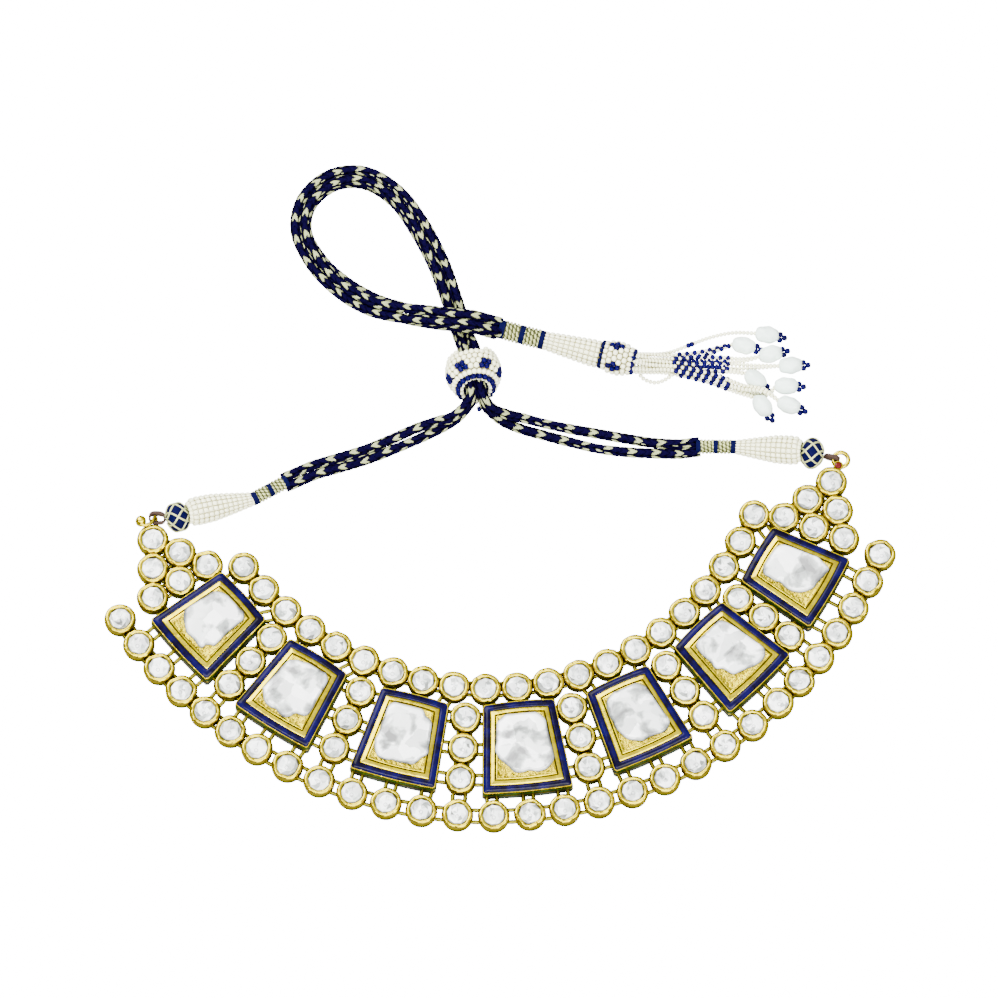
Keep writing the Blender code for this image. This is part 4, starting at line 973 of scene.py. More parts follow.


# Paints 4 and 5 are darker golds that are painted shade: under the case, in the groove round the
# field, and on the gold line of the wall.
CASE = np.array([  # inset, height and the paint of the face that follows
    (0.30, 0.00, 4), (0.03, 0.12, 4), (0.00, 0.55, 1), (0.06, 2.10, 5), (0.00, 2.24, 5),
    (0.00, 2.60, 5), (0.10, 2.74, 1), (0.16, 4.06, 0), (0.10, 4.18, 0), (0.13, 4.44, 0),
    (0.21, 4.56, 0), (0.35, 4.56, 0), (0.41, 4.46, 2), (0.50, 4.58, 2), (1.15, 4.88, 2),
    (1.45, 4.93, 2), (1.78, 4.86, 2), (2.00, 4.70, 0), (2.06, 4.86, 6), (2.16, 4.96, 6),
    (2.40, 5.02, 6), (2.98, 5.24, 6), (3.08, 5.24, 6), (3.16, 5.14, 4), (3.22, 4.90, 4),
    (3.32, 4.90, 6), (3.40, 5.16, 6), (3.54, 5.28, 6), (3.74, 5.30, 6), (3.86, 5.22, 3),
    (4.10, 5.10, 3), (5.20, 5.08, 3), (7.40, 5.08, 3),
])


def case_points(k):
    """The case of medallion k: the profile at each inset, along the keystone outline.

    One point in the middle closes the underside, and one the chased field.
    """
    outline = keystone(k, CASE[:, 0] - EDGE_OUT[k])
    height = np.broadcast_to(CASE[:, 1][:, None], outline.shape[:2])
    flat = outline @ rotation(TURNS[k]).T + MEDALLIONS[k]
    points = np.concatenate([flat, height[..., None]], axis=-1)
    poles = [np.array([*MEDALLIONS[k], z]) * np.ones((1, points.shape[1], 1))
             for z in (0.0, CASE[-1, 1])]
    return np.concatenate([poles[0], points, poles[1]], axis=0)


CASE_PAINT = np.concatenate([[0], CASE[:-1, 2].astype(int), [3]])[None, :, None]


# %% [markdown]
# The stone of a medallion is a big flat slice of its own uneven shape, with gold petals
# pressed over its edge. Each outline was read off the photo as corners in pixels.
# Before it stand the medallion's middle and turn, measured there. A pixel is a quarter of a
# millimetre across and a little more in depth, because the camera looks down at a slant.

# %% The big stones' outlines
PIXEL = np.array([0.25, -0.2643])  # mm across and in depth
EDGE_LIFT = 0.8  # px by which a stone's edge looks higher than the border
OUTLINE_SHARE = 0.975  # the size of a stone against the outline that was read
STONE_KEEP = 3.3  # mm that a stone stays off the case's edge
STONES = [  # x, y and turn of the medallion in the photo, and the corners of its stone
    ((211.0, 621.5, -49.2), [
        (183, 618), (184, 609), (188, 603), (195, 599), (199, 594), (207, 592), (214, 590),
        (222, 591), (230, 593), (234, 596), (241, 600), (247, 603), (246, 611), (244, 619),
        (238, 624), (233, 628), (228, 632), (223, 637), (218, 642), (214, 645), (207, 644),
        (202, 647), (198, 645), (194, 639), (190, 635), (186, 631)]),
    ((297.4, 692.5, -31.2), [
        (264, 690), (268, 681), (274, 676), (278, 671), (284, 665), (290, 662), (299, 661),
        (305, 663), (313, 662), (320, 666), (329, 666), (329, 674), (331, 681), (327, 690),
        (323, 696), (320, 702), (317, 709), (312, 716), (306, 717), (299, 715), (294, 718),
        (287, 719), (282, 715), (279, 711), (273, 709), (267, 703)]),
    ((405.1, 735.5, -13.0), [
        (376, 746), (376, 739), (380, 731), (382, 722), (385, 715), (386, 710), (389, 704),
        (394, 701), (399, 698), (404, 697), (409, 700), (415, 699), (421, 702), (424, 708),
        (427, 714), (431, 717), (434, 722), (434, 732), (432, 738), (433, 745), (431, 752),
        (424, 756), (420, 760), (415, 763), (407, 762), (400, 761), (394, 759), (388, 759),
        (380, 756), (377, 751)]),
    ((522.7, 745.5, 6.4), [
        (494, 728), (496, 722), (500, 718), (504, 712), (509, 710), (518, 711), (523, 709),
        (530, 709), (537, 712), (545, 718), (549, 724), (551, 733), (552, 741), (556, 749),
        (554, 758), (549, 766), (545, 769), (537, 771), (529, 770), (523, 772), (514, 772),
        (509, 767), (504, 763), (498, 758), (494, 751), (495, 744), (494, 737)]),
    ((635.9, 714.9, 27.8), [
        (606, 707), (607, 699), (612, 692), (616, 687), (622, 684), (629, 682), (636, 681),
        (643, 683), (651, 683), (656, 688), (660, 694), (663, 702), (666, 708), (671, 717),
        (669, 725), (665, 729), (658, 732), (651, 735), (644, 739), (636, 739), (629, 738),
        (622, 733), (616, 727), (614, 722), (610, 717)]),
    ((729.2, 656.0, 43.7), [
        (696, 648), (697, 641), (702, 635), (707, 630), (713, 626), (720, 622), (726, 623),
        (732, 626), (739, 628), (745, 633), (751, 638), (757, 644), (765, 649), (766, 657),
        (762, 664), (754, 669), (748, 671), (741, 674), (733, 677), (727, 674), (722, 671),
        (715, 671), (710, 664), (703, 658), (699, 653)]),
    ((794.5, 571.3, 59.7), [
        (762, 563), (765, 559), (769, 555), (773, 550), (777, 545), (783, 542), (791, 542),
        (799, 545), (806, 549), (813, 552), (820, 555), (825, 560), (831, 567), (827, 573),
        (823, 577), (819, 581), (815, 586), (810, 589), (802, 591), (793, 590), (786, 586),
        (781, 581), (775, 579), (769, 575), (764, 572)]),
]


def stone_outline(k, count):
    """The edge of stone k in the medallion's own plane, in mm, as a smooth closed line.

    A corner's place is its pixels from the medallion's middle times PIXEL, turned back by
    the medallion's turn in the photo. The line stays inside the groove round the field.
    """
    (px, py, turn), corners = STONES[k]
    flat = (np.array(corners, float) - [px, py - EDGE_LIFT]) * PIXEL * OUTLINE_SHARE
    flat = flat @ rotation(math.radians(turn))
    neck, outer, half = half_sizes(k) + EDGE_OUT[k] - STONE_KEEP
    flat[:, 1] = np.clip(flat[:, 1], -half, half)
    width = np.interp(flat[:, 1], [-half, half], [outer, neck])
    flat[:, 0] = np.clip(flat[:, 0], -width, width)
    closed = np.vstack([flat, flat[:1]])
    line = smooth_line(np.column_stack([closed, np.zeros(len(closed))]), count)[:, :2]
    line[-1] = line[0]
    return line


# The outer rings' low tones are painted shade round the stone's edge.
BIG_RINGS = np.array([  # share of the outline, height, how far that rolls, tone inside
    (0.990, 4.60, 0.00, 0.05), (1.000, 5.32, 0.00, 0.16), (0.965, 5.56, 0.04, 0.45),
    (0.910, 5.82, 0.10, 0.80), (0.800, 5.98, 0.16, 0.80), (0.620, 6.08, 0.18, 0.80),
    (0.420, 6.14, 0.14, 0.80), (0.200, 6.18, 0.07, 0.80), (0.000, 6.20, 0.00, 0.00),
])


def big_stone(k):
    """Rings at shares of the outline round its middle, with heights that roll a little."""
    cols = 97
    edge = stone_outline(k, cols)
    middle = edge[:-1].mean(axis=0)
    shares, heights, roll, tone = BIG_RINGS.T[:, :, None]
    uneven = waves(len(BIG_RINGS), np.linspace(0, 2 * np.pi, cols), 2, 5)
    uneven[:, -1] = uneven[:, 0]
    lift = heights + uneven * roll
    local = middle + (edge - middle)[None] * shares[..., None]
    flat = local @ rotation(TURNS[k]).T + MEDALLIONS[k]
    points = np.concatenate([flat, lift[..., None]], axis=-1)
    return sheet(points, tone=tone[:-1], uv=local[None] / 7.0)


CASE_FINISHES = [gold, green_enamel, blue_enamel, field_gold, painted_shade_gold, wall_shade_gold, bevel_gold]
for k in range(7):
    name = f"medallion_{k + 1}"
    new_piece(f"{name}_dressed_case", [sheet(case_points(k), paint=CASE_PAINT)], CASE_FINISHES,
              "kundan_gold", f"{name}_case", f"{name}_enamel", crease=35)
    new_piece(f"{name}_dressed_stone", [big_stone(k)], [polki],
              "uncut_stone", f"{name}_stone", crease=40)

# %% [markdown]
# ## The ends of the choker
# A triangle of six collets closes each end. The left one carries a hook of bent wire with a
# ball on its tip, the right one a ring on a short stem with a small red stone. Wires are
# tubes: a circle carried along a smooth line, square to it at every step.


# %% Tubes, turned shapes and beads
def pinched(points, first, last):
    """A grid with one more row at either end, all of it in one point."""
    cols = points.shape[1]
    return np.concatenate([np.tile(first, (1, cols, 1)), points, np.tile(last, (1, cols, 1))])


def tube(line, diameter, cols=13, closed=False):
    """A circle carried along a line. Pinched rows at both ends close an open tube."""
    line = np.asarray(line, float)
    if closed:
        run = unit(np.roll(line[:-1], -1, axis=0) - np.roll(line[:-1], 1, axis=0))
        run = np.vstack([run, run[:1]])
    else:
        run = unit(np.gradient(line, axis=0))
    upright = np.abs(run[:, 2]).max() >= 0.97
    guide = np.array([1.0, 0.3, 0.1]) if upright else np.array([0.13, 0.08, 1.0])
    side = unit(np.cross(guide, run))
    up = np.cross(run, side)
    out = fan(side[:, None], up[:, None], np.linspace(0, 2 * np.pi, cols))
    radius = np.broadcast_to(np.asarray(diameter, float) / 2, (len(line),))
    points = line[:, None] + out * radius[:, None, None]
    return points if closed else pinched(points, line[0], line[-1])


def turned(start, run, far, radius, cols=33):
    """Radii at distances along an axis, carried round it. Angle 90 degrees points up."""
    out = round_axis(run, np.linspace(0, 2 * np.pi, cols))
    radius = np.asarray(radius, float)
    radius = radius if radius.ndim == 2 else radius[:, None] * np.ones(cols)
    return start + run * np.asarray(far, float)[:, None, None] + out * radius[..., None]


def beads(middles, ways, width, length, rows=6, cols=9):
    """Small barrels: at each latitude the radius is its cosine to the power 0.7."""
    middles = np.atleast_2d(middles)
    way = unit(np.broadcast_to(ways, middles.shape))
    side = unit(np.cross(way, [0.31, 0.17, 0.93]))
    up = np.cross(side, way)
    latitude = np.linspace(-np.pi / 2, np.pi / 2, rows)
    ring = np.clip(np.cos(latitude), 0, 1) ** 0.7
    out = fan(side[:, None], up[:, None], np.linspace(0, 2 * np.pi, cols))
    sizes = [np.broadcast_to(size, (len(middles),)) for size in (width, length)]
    width, length = (size[:, None, None, None] / 2 for size in sizes)
    climb = way[:, None, None] * np.sin(latitude)[:, None, None] * length
    return middles[:, None, None] + climb + out[:, None] * ring[:, None, None] * width


def loop_line(start, end, across, width):
    """A closed line with straight sides and round ends: a superellipse of power 3."""
    t = np.linspace(0, 2 * np.pi, 41)
    square = (np.abs(np.cos(t)) ** 3 + np.abs(np.sin(t)) ** 3) ** (-1 / 3)
    along = (end - start) / 2 * (square * np.cos(t))[:, None]
    return (start + end) / 2 + along + across * (width / 2 * square * np.sin(t))[:, None]


# %% The end triangles, the hook and the ring
def end_links(rows, k, side):
    """Links from each row of a triangle to the next, and to the medallion's wall."""
    made = hangers(rows[0], k, side)
    for inner, outer in zip(rows, rows[1:]):
        made.append(links_of(np.vstack([inner[:-1], inner[1:]]), np.vstack([outer, outer])))
    return made + [links_of(row[:-1], row[1:]) for row in rows[:2]]


def end_piece(name, node, k, side, extra):
    """The gold and the stones of an end triangle with its fastening."""
    rows = triangle(k, 1 if side == "right" else -1)
    links = end_links(rows, k, side)
    string(name, np.vstack(rows), np.full(6, TURNS[k]), links, node, extra)


HOOK = np.array([  # from the middle of the last collet, at SOLDER_HEIGHT
    (0.88, 2.95, 0.0), (0.70, 5.70, -0.20), (0.62, 6.00, 0.82), (0.40, 5.60, 2.31),
    (-0.48, 3.84, 3.09), (-2.20, 3.15, 3.40), (-3.52, 3.54, 3.20),
])
SOLDER_HEIGHT = 1.6
HOOK_WIRE, KNOB = 0.9, 2.7
low_tip = np.array([*LEFT_TIP, SOLDER_HEIGHT])
hook = tube(smooth_line(low_tip + HOOK, 40), HOOK_WIRE)
knob = beads(low_tip + [-2.99, 4.35, 2.99], (0.2, 0.3, 1), KNOB, KNOB, rows=15, cols=25)
end_piece("left_end", "left_end_with_hook", 0, "left", [hook, knob])

RING_RADIUS, RING_WIRE = 1.9, 1.15
RING_HEIGHT, RING_REACH = 2.5, 6.55  # of its middle: over the table, and from the collet's
STEM_WIDTHS = np.array([1.9, 1.8, 1.5, 1.3, 1.4, 1.7, 1.9, 1.7, 1.4])
NEARLY_UP = np.array([0.02, 0.0, 1.0])
X_WAY, Y_WAY, Z_WAY = np.eye(3)
toward = heading(68)
ring_middle = np.array([*RIGHT_TIP, RING_HEIGHT]) + toward * RING_REACH
circle = fan(X_WAY, Y_WAY, np.linspace(0, 2 * np.pi, 41))
hoop = tube(ring_middle + RING_RADIUS * circle, RING_WIRE, closed=True)
stem_from = np.array([*RIGHT_TIP, SOLDER_HEIGHT]) + toward * 2.9
stem = tube(np.linspace(stem_from, ring_middle - toward * 1.5, 9), STEM_WIDTHS)
seat = ring_middle - toward * RING_RADIUS
collar = turned(
    seat - 0.3 * Z_WAY, NEARLY_UP,
    [0.0, 0.0, 0.9, 1.12, 1.12, 0.9, 0.9], [0.0, 1.15, 1.28, 1.15, 0.95, 0.90, 0.0],
)
end_piece("right_end", "right_end_with_ring", 6, "right", [hoop, stem, collar])

# %% [markdown]
# The red stone is a small round cut one in a collar. The loops between the fastenings and
# the balls are dark thread wound a few times, so each is a bundle of thin strands.


# %% Red stone and thread loops
def plain_finish(name, colour, roughness, scale, depth, spread=0.7, level=0.5, gap=None):
    """A colour with fine noise in tone and height, and painted shade in the gaps where given."""
    made, tree, shader = new_finish(name, colour, roughness)
    shader.inputs["Specular IOR Level"].default_value = level
    noise = object_noise(tree, scale)
    tint = ramp(tree, noise, [(0.35, tuple(spread * c for c in colour)), (0.65, colour)])
    # Painted shade: the gap colour darkens the hollows between beads or turns of wire.
    if gap:
        tint = mix_colour(tree, 1.0, tint, hollows(tree, 0.7, [(0.32, gap), (0.80, 1.0)]))
    dress(tree, shader, tint, noise, depth)
    return made


ruby = plain_finish("red_stone", (0.07, 0.0002, 0.0005), 0.10, 0.8, 0.03, level=0.2)
brown_thread = plain_finish("dark_thread", (0.035, 0.018, 0.011), 0.6, 2.5, 0.05, level=0.2)
gem = turned(seat + 0.58 * Z_WAY, NEARLY_UP,
             [0.0, 0.05, 0.30, 0.42, 0.42], [0.0, 0.92, 0.80, 0.5, 0.0], cols=9)
new_piece("red_stone_cut", [sheet(gem, smooth=False)], [ruby], "red_stone", "ring_stone")


LOOP_WIDTH, THREAD = 2.45, 0.55
BALL_EDGE = BALL_LENGTH / 2 + 0.45  # from a ball's middle to where its loop ends
WINDINGS = ((0.0, 0.30), (0.35, -0.10), (-0.35, -0.10), (0.75, 0.20), (-0.75, -0.25))


def thread_loop(name, start, end, across, node):
    """Five strands of dark thread side by side, each wider or narrower and up or down."""
    end = np.array([*end[:2], start[2]])
    lift = unit(np.cross(end - start, across))
    lines = [loop_line(start, end, across, LOOP_WIDTH + wider) + lift * rise
             for wider, rise in WINDINGS]
    strands = [sheet(tube(line, THREAD, cols=9, closed=True)) for line in lines]
    new_piece(name, strands, [brown_thread], "dark_thread", node)


post = low_tip + [-0.88, 5.90, 1.02]  # where the threads go round the hook
thread_loop("left_threads", post, left["ball"] - X_WAY * BALL_EDGE, Y_WAY, "left_thread_loop")
inside = ring_middle + heading(173) * 0.485  # where they go through the ring
thread_loop("right_threads", inside, right["ball"] - right["way"] * BALL_EDGE, Z_WAY,
            "right_thread_loop")

# %% [markdown]
# ## Beadwork
# The sleeves, the slider, the cap and the strands are sewn from seed beads a little over a
# millimetre long. One bead is a barrel of forty faces, and a formula gives the middles of
# all beads of a piece at once: rings round an axis for the sleeves, staggered rings for the
# net of the slider and the cap. A plain core under the beads stops the light.


# %% Beads and their finishes
# The seed beads' and the wound wire's gap colours are painted shade in the hollows between them.
cream_bead = plain_finish("seed_pearl", (0.97, 0.97, 0.66), 0.25, 0.9, 0.02,
                          spread=0.92, gap=(0.34, 0.30, 0.12))
blue_bead = plain_finish("blue_bead", (0.0032, 0.0, 0.056), 0.12, 1.2, 0.02,
                         spread=0.3, level=0.035)
navy_thread = plain_finish("blue_thread", (0.0012, 0.0010, 0.026), 0.55, 3.0, 0.05, level=0.02)
pale_wire = plain_finish("wound_wire", (0.54, 0.57, 0.23), 0.34, 2.0, 0.05,
                         level=0.3, gap=(0.02, 0.021, 0.006))
pale_wire.node_tree.nodes["Principled BSDF"].inputs["Metallic"].default_value = 0.4
wire_shade = plain_finish("wire_shade", (0.045, 0.050, 0.014), 0.5, 2.0, 0.03, level=0.1)


RING_COUNT = 15  # beads in each ring of a sleeve or the cap
PITCH = 1.28  # from ring to ring along a sleeve or the slider, in mm
SNUG = 1.04  # how large a bead is against its share of the ring, so that it touches
CORE_SHARE = 0.80  # the core's radius against the sleeve's


def ring_angles(count, stagger=0.0):
    """The angles of this many beads, from the top on and moved by a share of a step."""
    return 2 * np.pi * (np.arange(count) + stagger) / count + np.pi / 2


def ring_of_beads(start, run, far, radius, count=RING_COUNT, stagger=0.0):
    """Middles of beads round an axis, this far along it."""
    return start + run * far + round_axis(run, ring_angles(count, stagger)) * radius


def sleeve(name, start, run, far, radius, node):
    """Rings of beads under a profile, over a core, with a smaller ring past each end.

    Every ring has the same number of beads, so that they line up. A bead fills its share
    of the ring's length: 2 pi r over the number of beads and one more pi.
    """
    length = far[-1]
    inner = np.asarray(radius) * CORE_SHARE
    core = turned(start, run, [far[0], *far, far[-1]], [0.0, *inner, 0.0], cols=25)
    body = [sheet(core)]
    steps = int(length / PITCH)
    for s in (np.arange(steps) + 0.5) * length / steps:
        r = np.interp(s, far, radius)
        width = 2 * np.pi * r / (RING_COUNT + np.pi)
        middles = ring_of_beads(start, run, s, r - width / 2)
        body.append(sheet(beads(middles, run, width * SNUG, length / steps * SNUG)))
    for s, size in ((-0.25, 0.86), (length + 0.25, 0.92)):
        r = np.interp(s, far, radius) * size
        body.append(sheet(beads(ring_of_beads(start, run, s, r - 0.6), run, 1.25, 1.25)))
    new_piece(name, body, [cream_bead], "seed_pearl", node)


SLEEVE_FAR = [0.0, 1.1, SHOULDER_PLACE, 10.5, SLEEVE_LENGTH]
SLEEVE_RADIUS = [3.35, 3.75, 3.65, 2.85, 1.85]
ENDS = {"left": left, "right": right}
for side_name, end in ENDS.items():
    sleeve(f"{side_name}_sleeve", end["sleeve"], end["run"],
           SLEEVE_FAR, SLEEVE_RADIUS, f"{side_name}_pearl_sleeve")


# %% The lattice balls
NET_LINES, NET_WIRE, NET_TURN = 6, 0.48, 0.80


def lattice_ball(name, middle, way, node):
    """A navy ball under a net of pale wire, whose lines wind both ways round it.

    A line's angle is its start plus or minus NET_TURN times its latitude.
    """
    latitude = np.linspace(-np.pi / 2, np.pi / 2, 15)
    core = turned(middle, way, BALL_LENGTH / 2 * 1.04 * np.sin(latitude),
                  BALL_WIDTH / 2 * 1.02 * np.cos(latitude))
    body = [sheet(core)]
    lean = np.linspace(-1.35, 1.35, 25)
    along = way * (BALL_LENGTH / 2 * 1.05 * np.sin(lean))[:, None]
    for turn in np.arange(NET_LINES) * 2 * np.pi / NET_LINES + 0.2:
        for hand in (1, -1):
            out = round_axis(way, turn + hand * NET_TURN * lean)
            line = middle + out * (BALL_WIDTH / 2 * 1.03 * np.cos(lean))[:, None] + along
            body.append(sheet(tube(line, NET_WIRE, cols=9), paint=1))
    new_piece(name, body, [navy_thread, pale_wire], "navy_silk", node)


for side_name, end in ENDS.items():
    lattice_ball(f"{side_name}_netted_ball", end["ball"], end["way"], f"{side_name}_lattice_ball")

# %% [markdown]
# ## Wire wraps
# Each wrap is two barrels of twisted wire between three rings of blue thread. Twisted wire
# wound in turns shows as rows of slanted ovals, so the radius swells once for every turn
# along the axis, and each turn swells many times round it, shifted a little each time.
# The low gaps between the ovals are painted in shade.


# %% Wraps
WIRE_TURN, THREAD_TURN = 0.92, 0.30  # mm along the axis from one turn to the next
SPARE = 0.5  # how much further a wrap reaches at either end, against what it is tied to
SHADE_BELOW = 0.56  # relief under which the wire gets its shaded finish
WRAP_FINISHES = [pale_wire, navy_thread, wire_shade]


def wrap(name, start, run, length, width, node):
    """Two barrels of twisted wire with thread rings at the ends and in the middle.

    The wire's relief is a ply, |sin(pi n)| to the power 0.6 at n turns along the axis,
    times a quarter and three quarters of a twist that swells ten times in a turn. Where
    the relief is low, in the gaps between turns and twists, the wire is in shade.
    """
    start, length = start - run * SPARE, length + 2 * SPARE
    cols = 97
    far = np.linspace(0, length, 141)[:, None]
    angle = np.linspace(0, 2 * np.pi, cols)
    share = far / length
    bands = (share < 0.13) | (share > 0.89) | (np.abs(share - 0.51) < 0.055)
    turns = far / WIRE_TURN + angle / (2 * np.pi)
    twist = np.abs(np.sin(angle * 5 + np.pi * turns * 0.5)) ** 0.8
    relief = np.abs(np.sin(np.pi * turns)) ** 0.6 * (0.25 + 0.75 * twist)
    wires = width / 2 * (0.76 + 0.28 * relief)
    thread = width / 2 * (0.93 + 0.05 * np.abs(np.sin(np.pi * far / THREAD_TURN)))
    points = turned(start, run, far[:, 0], np.where(bands, thread, wires), cols=cols)
    points = pinched(points, start, start + run * length)
    paint = np.where(bands[:-1], 1, np.where(relief[:-1, :-1] < SHADE_BELOW, 2, 0))
    paint = np.pad(paint, ((1, 1), (0, 0)), constant_values=1)[None]
    new_piece(name, [sheet(points, paint=paint)], WRAP_FINISHES, "wound_wire", node)


for side_name, end in ENDS.items():
    wrap(f"{side_name}_wrap", end["wrap"], end["out"], WRAP_LENGTH, WRAP_WIDTH,
         f"{side_name}_wire_wrap")

# %% [markdown]
# ## The slider
# The cords run through a barrel of seed beads. Its rows are staggered like bricks, with
# small blue flowers round it and a ring of larger blue beads round its near mouth.

# %% The slider's rows of beads
SLIDER_MIDDLE = np.array([-12.3, 96.4, 7.3])
SLIDER_RUN = heading(98)
SLIDER_COUNT, MOUTH_COUNT = 28, 19  # beads in each ring
SLIDER_BEAD, MOUTH_BEAD = (1.50, 1.46), (1.62, 1.70)  # width and length
INNER_BEAD, HANGING_BEAD = (1.25, 1.25), (1.4, 1.4)
MOUTH_AT, FAR_END = -5.1, 5.2  # the mouth's lowest place and the far end, from the middle
MOUTH_DEPTH = 1.75  # how far the near mouth's slant goes back at mid height
FIRST_ROW = 0.75  # from the mouth to the middles of the first row
SHELL = np.array([  # distance along the axis, radius, and the paint of what follows
    (-5.0, 3.7, 2), (-4.4, 4.1, 0), (-2.5, 5.2, 0), (0.0, 5.7, 0), (2.5, 5.2, 0),
    (4.4, 4.2, 0), (5.0, 3.7, 0), (5.0, 3.42, 2), (-5.0, 3.42, 2), (-5.0, 3.7, 2),
])
SLIDER_FLOWERS = [(0.7, np.radians(90 + turn)) for turn in (-28, 28, 150, 210)]
SLIDER_FLOWERS += [(-0.7, np.radians(90 + turn)) for turn in (-84, 84)]
FLOWER_WIDTH, FLOWER_LENGTH = 1.45, 1.35  # half of what a flower takes up
BEAD_FINISHES = [cream_bead, blue_bead, navy_thread]


def in_flowers(far, angle, radius, flowers, width, length):
    """Whether a bead lies in the ellipse round one of the flowers' (distance, angle)."""
    near = np.zeros(len(angle), bool)
    for flower_far, flower_angle in flowers:
        off = ((angle - flower_angle + np.pi) % (2 * np.pi) - np.pi) * radius
        near |= (off / width) ** 2 + ((far - flower_far) / length) ** 2 < 1.0
    return near


def slant(angle):
    """How far the near mouth goes back at this angle: furthest at the top."""
    return MOUTH_DEPTH * (1 + np.sin(angle))


def make_slider():
    """Rows of beads that start at a slanting near mouth, with blue flowers among them.

    The mouth is further back at the top, so that it looks up. Rows follow it at even steps,
    and the barrel draws in towards it: its radius is 4.75 + 1.95 cos(pi s / 12.4), and
    near the mouth that mixes with 4.7 by a share of exp(-(s - mouth) / 1.4). Two rings of
    beads close the mouth, a core with a navy lining is inside, and one blue bead hangs
    on the cords just outside.
    """
    spots, blue = [], []
    for row in range(9):
        angle = ring_angles(SLIDER_COUNT, 0.5 * (row % 2))
        from_mouth = FIRST_ROW + PITCH * row
        s = slant(angle) + MOUTH_AT + from_mouth
        draw = math.exp(-from_mouth / 1.4)
        r = (4.75 + 1.95 * np.cos(np.pi * s / 12.4)) * (1 - draw) + 4.7 * draw
        middles = SLIDER_RUN * s[:, None] + round_axis(SLIDER_RUN, angle) * r[:, None]
        keep = s < FAR_END
        spots.append((SLIDER_MIDDLE + middles)[keep])
        flowers = in_flowers(s, angle, r, SLIDER_FLOWERS, FLOWER_WIDTH, FLOWER_LENGTH)
        blue.append(flowers[keep])
    spots, blue = np.vstack(spots), np.concatenate(blue)
    angle = np.arange(MOUTH_COUNT) * 2 * np.pi / MOUTH_COUNT
    out = round_axis(SLIDER_RUN, angle)
    rim = SLIDER_MIDDLE + SLIDER_RUN * (slant(angle) - 5.3)[:, None]
    far, radius, lining = SHELL.T
    shell = turned(SLIDER_MIDDLE, SLIDER_RUN, far, radius)
    back = np.clip(far / -5.0, 0, 1)[:, None] * slant(np.linspace(0, 2 * np.pi, 33))
    body = [
        sheet(beads(spots, SLIDER_RUN, *SLIDER_BEAD), paint=blue[:, None, None].astype(int)),
        sheet(beads(rim + out * 4.45, SLIDER_RUN, *MOUTH_BEAD), paint=1),
        sheet(beads(rim - SLIDER_RUN * 0.15 + out * 3.72, SLIDER_RUN, *INNER_BEAD)),
        sheet(shell + SLIDER_RUN * back[..., None], paint=lining[None, :-1, None].astype(int)),
        sheet(beads(SLIDER_MIDDLE + [1.35, -7.3, -4.6], SLIDER_RUN, *HANGING_BEAD), paint=1),
    ]
    new_piece("beaded_slider", body, BEAD_FINISHES, "seed_pearl", "slider")


make_slider()

# %% [markdown]
# ## The tassel
# Beyond its wrap the tassel has a sleeve of seed beads, a round cap with blue flowers and
# eight strings of beads. Each string ends in a long pearl and three blue beads. Along the
# middle of the tassel every second bead of a string is blue and a little larger.

# %% Wrap, sleeve and cap
TASSEL_START = np.array([-5.6, 109.4, 5.4])
TASSEL_TURN = -14  # degrees from +X
TASSEL_DROP, TASSEL_REACH = 5.4 - 3.6, 25.4  # from the wrap's start to the sleeve's end
TASSEL_RUN = heading(TASSEL_TURN, -math.degrees(math.asin(TASSEL_DROP / TASSEL_REACH)))
TASSEL_WRAP_LENGTH, TASSEL_WRAP_WIDTH = 10.8, 5.0
SLEEVE_AFTER, CAP_AFTER = 11.1, 15.2  # from the wrap's start, and from the sleeve's
wrap("tassel_wound_wrap", TASSEL_START, TASSEL_RUN, TASSEL_WRAP_LENGTH, TASSEL_WRAP_WIDTH,
     "tassel_wrap")
sleeve_start = TASSEL_START + TASSEL_RUN * SLEEVE_AFTER
sleeve("tassel_beaded_sleeve", sleeve_start, TASSEL_RUN, [0.0, 2.0, 5.8, 13.1, 14.6],
       [2.35, 2.55, 2.95, 3.6, 3.45], "tassel_sleeve")
CAP_RUN = heading(TASSEL_TURN)
CAP_RADII = np.array([3.15, 3.55, 3.66, 3.66, 3.45, 3.0])
CAP_FLOWERS = [(3.5, np.pi / 2 + 2 * np.pi / RING_COUNT * (3.75 * k + 1.2)) for k in range(4)]
CAP_HEIGHT = 4.2  # of its axis over the table
cap_start = sleeve_start + TASSEL_RUN * CAP_AFTER
cap_start[2] = CAP_HEIGHT


def make_cap():
    """Six staggered rows of beads, a navy ring at the sleeve and a blue ring at the mouth."""
    core = turned(cap_start, CAP_RUN, [0.0, 0.0, 2.0, 5.8, 8.0, 8.0],
                  [0.0, 2.8, 3.2, 3.2, 2.3, 0.0])
    body = [sheet(core)]
    for i, (far, r) in enumerate(zip(np.linspace(0.95, 7.3, 6), CAP_RADII)):
        stagger = 0.5 * (i % 2)
        spots = ring_of_beads(cap_start, CAP_RUN, far, r, stagger=stagger)
        girth = 2 * np.pi * r / RING_COUNT
        blue = in_flowers(far, ring_angles(RING_COUNT, stagger), r, CAP_FLOWERS, 1.1 * girth, 1.6)
        length = np.where(blue, 1.38, 1.34)
        paint = blue[:, None, None].astype(int)
        body.append(sheet(beads(spots, CAP_RUN, girth * 1.02, length), paint=paint))
    for far, r, count, size, paint in ((0.1, 3.1, RING_COUNT, 1.3, 2), (8.0, 2.6, 10, 1.65, 1)):
        spots = ring_of_beads(cap_start, CAP_RUN, far, r, count)
        body.append(sheet(beads(spots, CAP_RUN, size, size), paint=paint))
    new_piece("beaded_cap", body, BEAD_FINISHES, "seed_pearl", "tassel_cap")


make_cap()

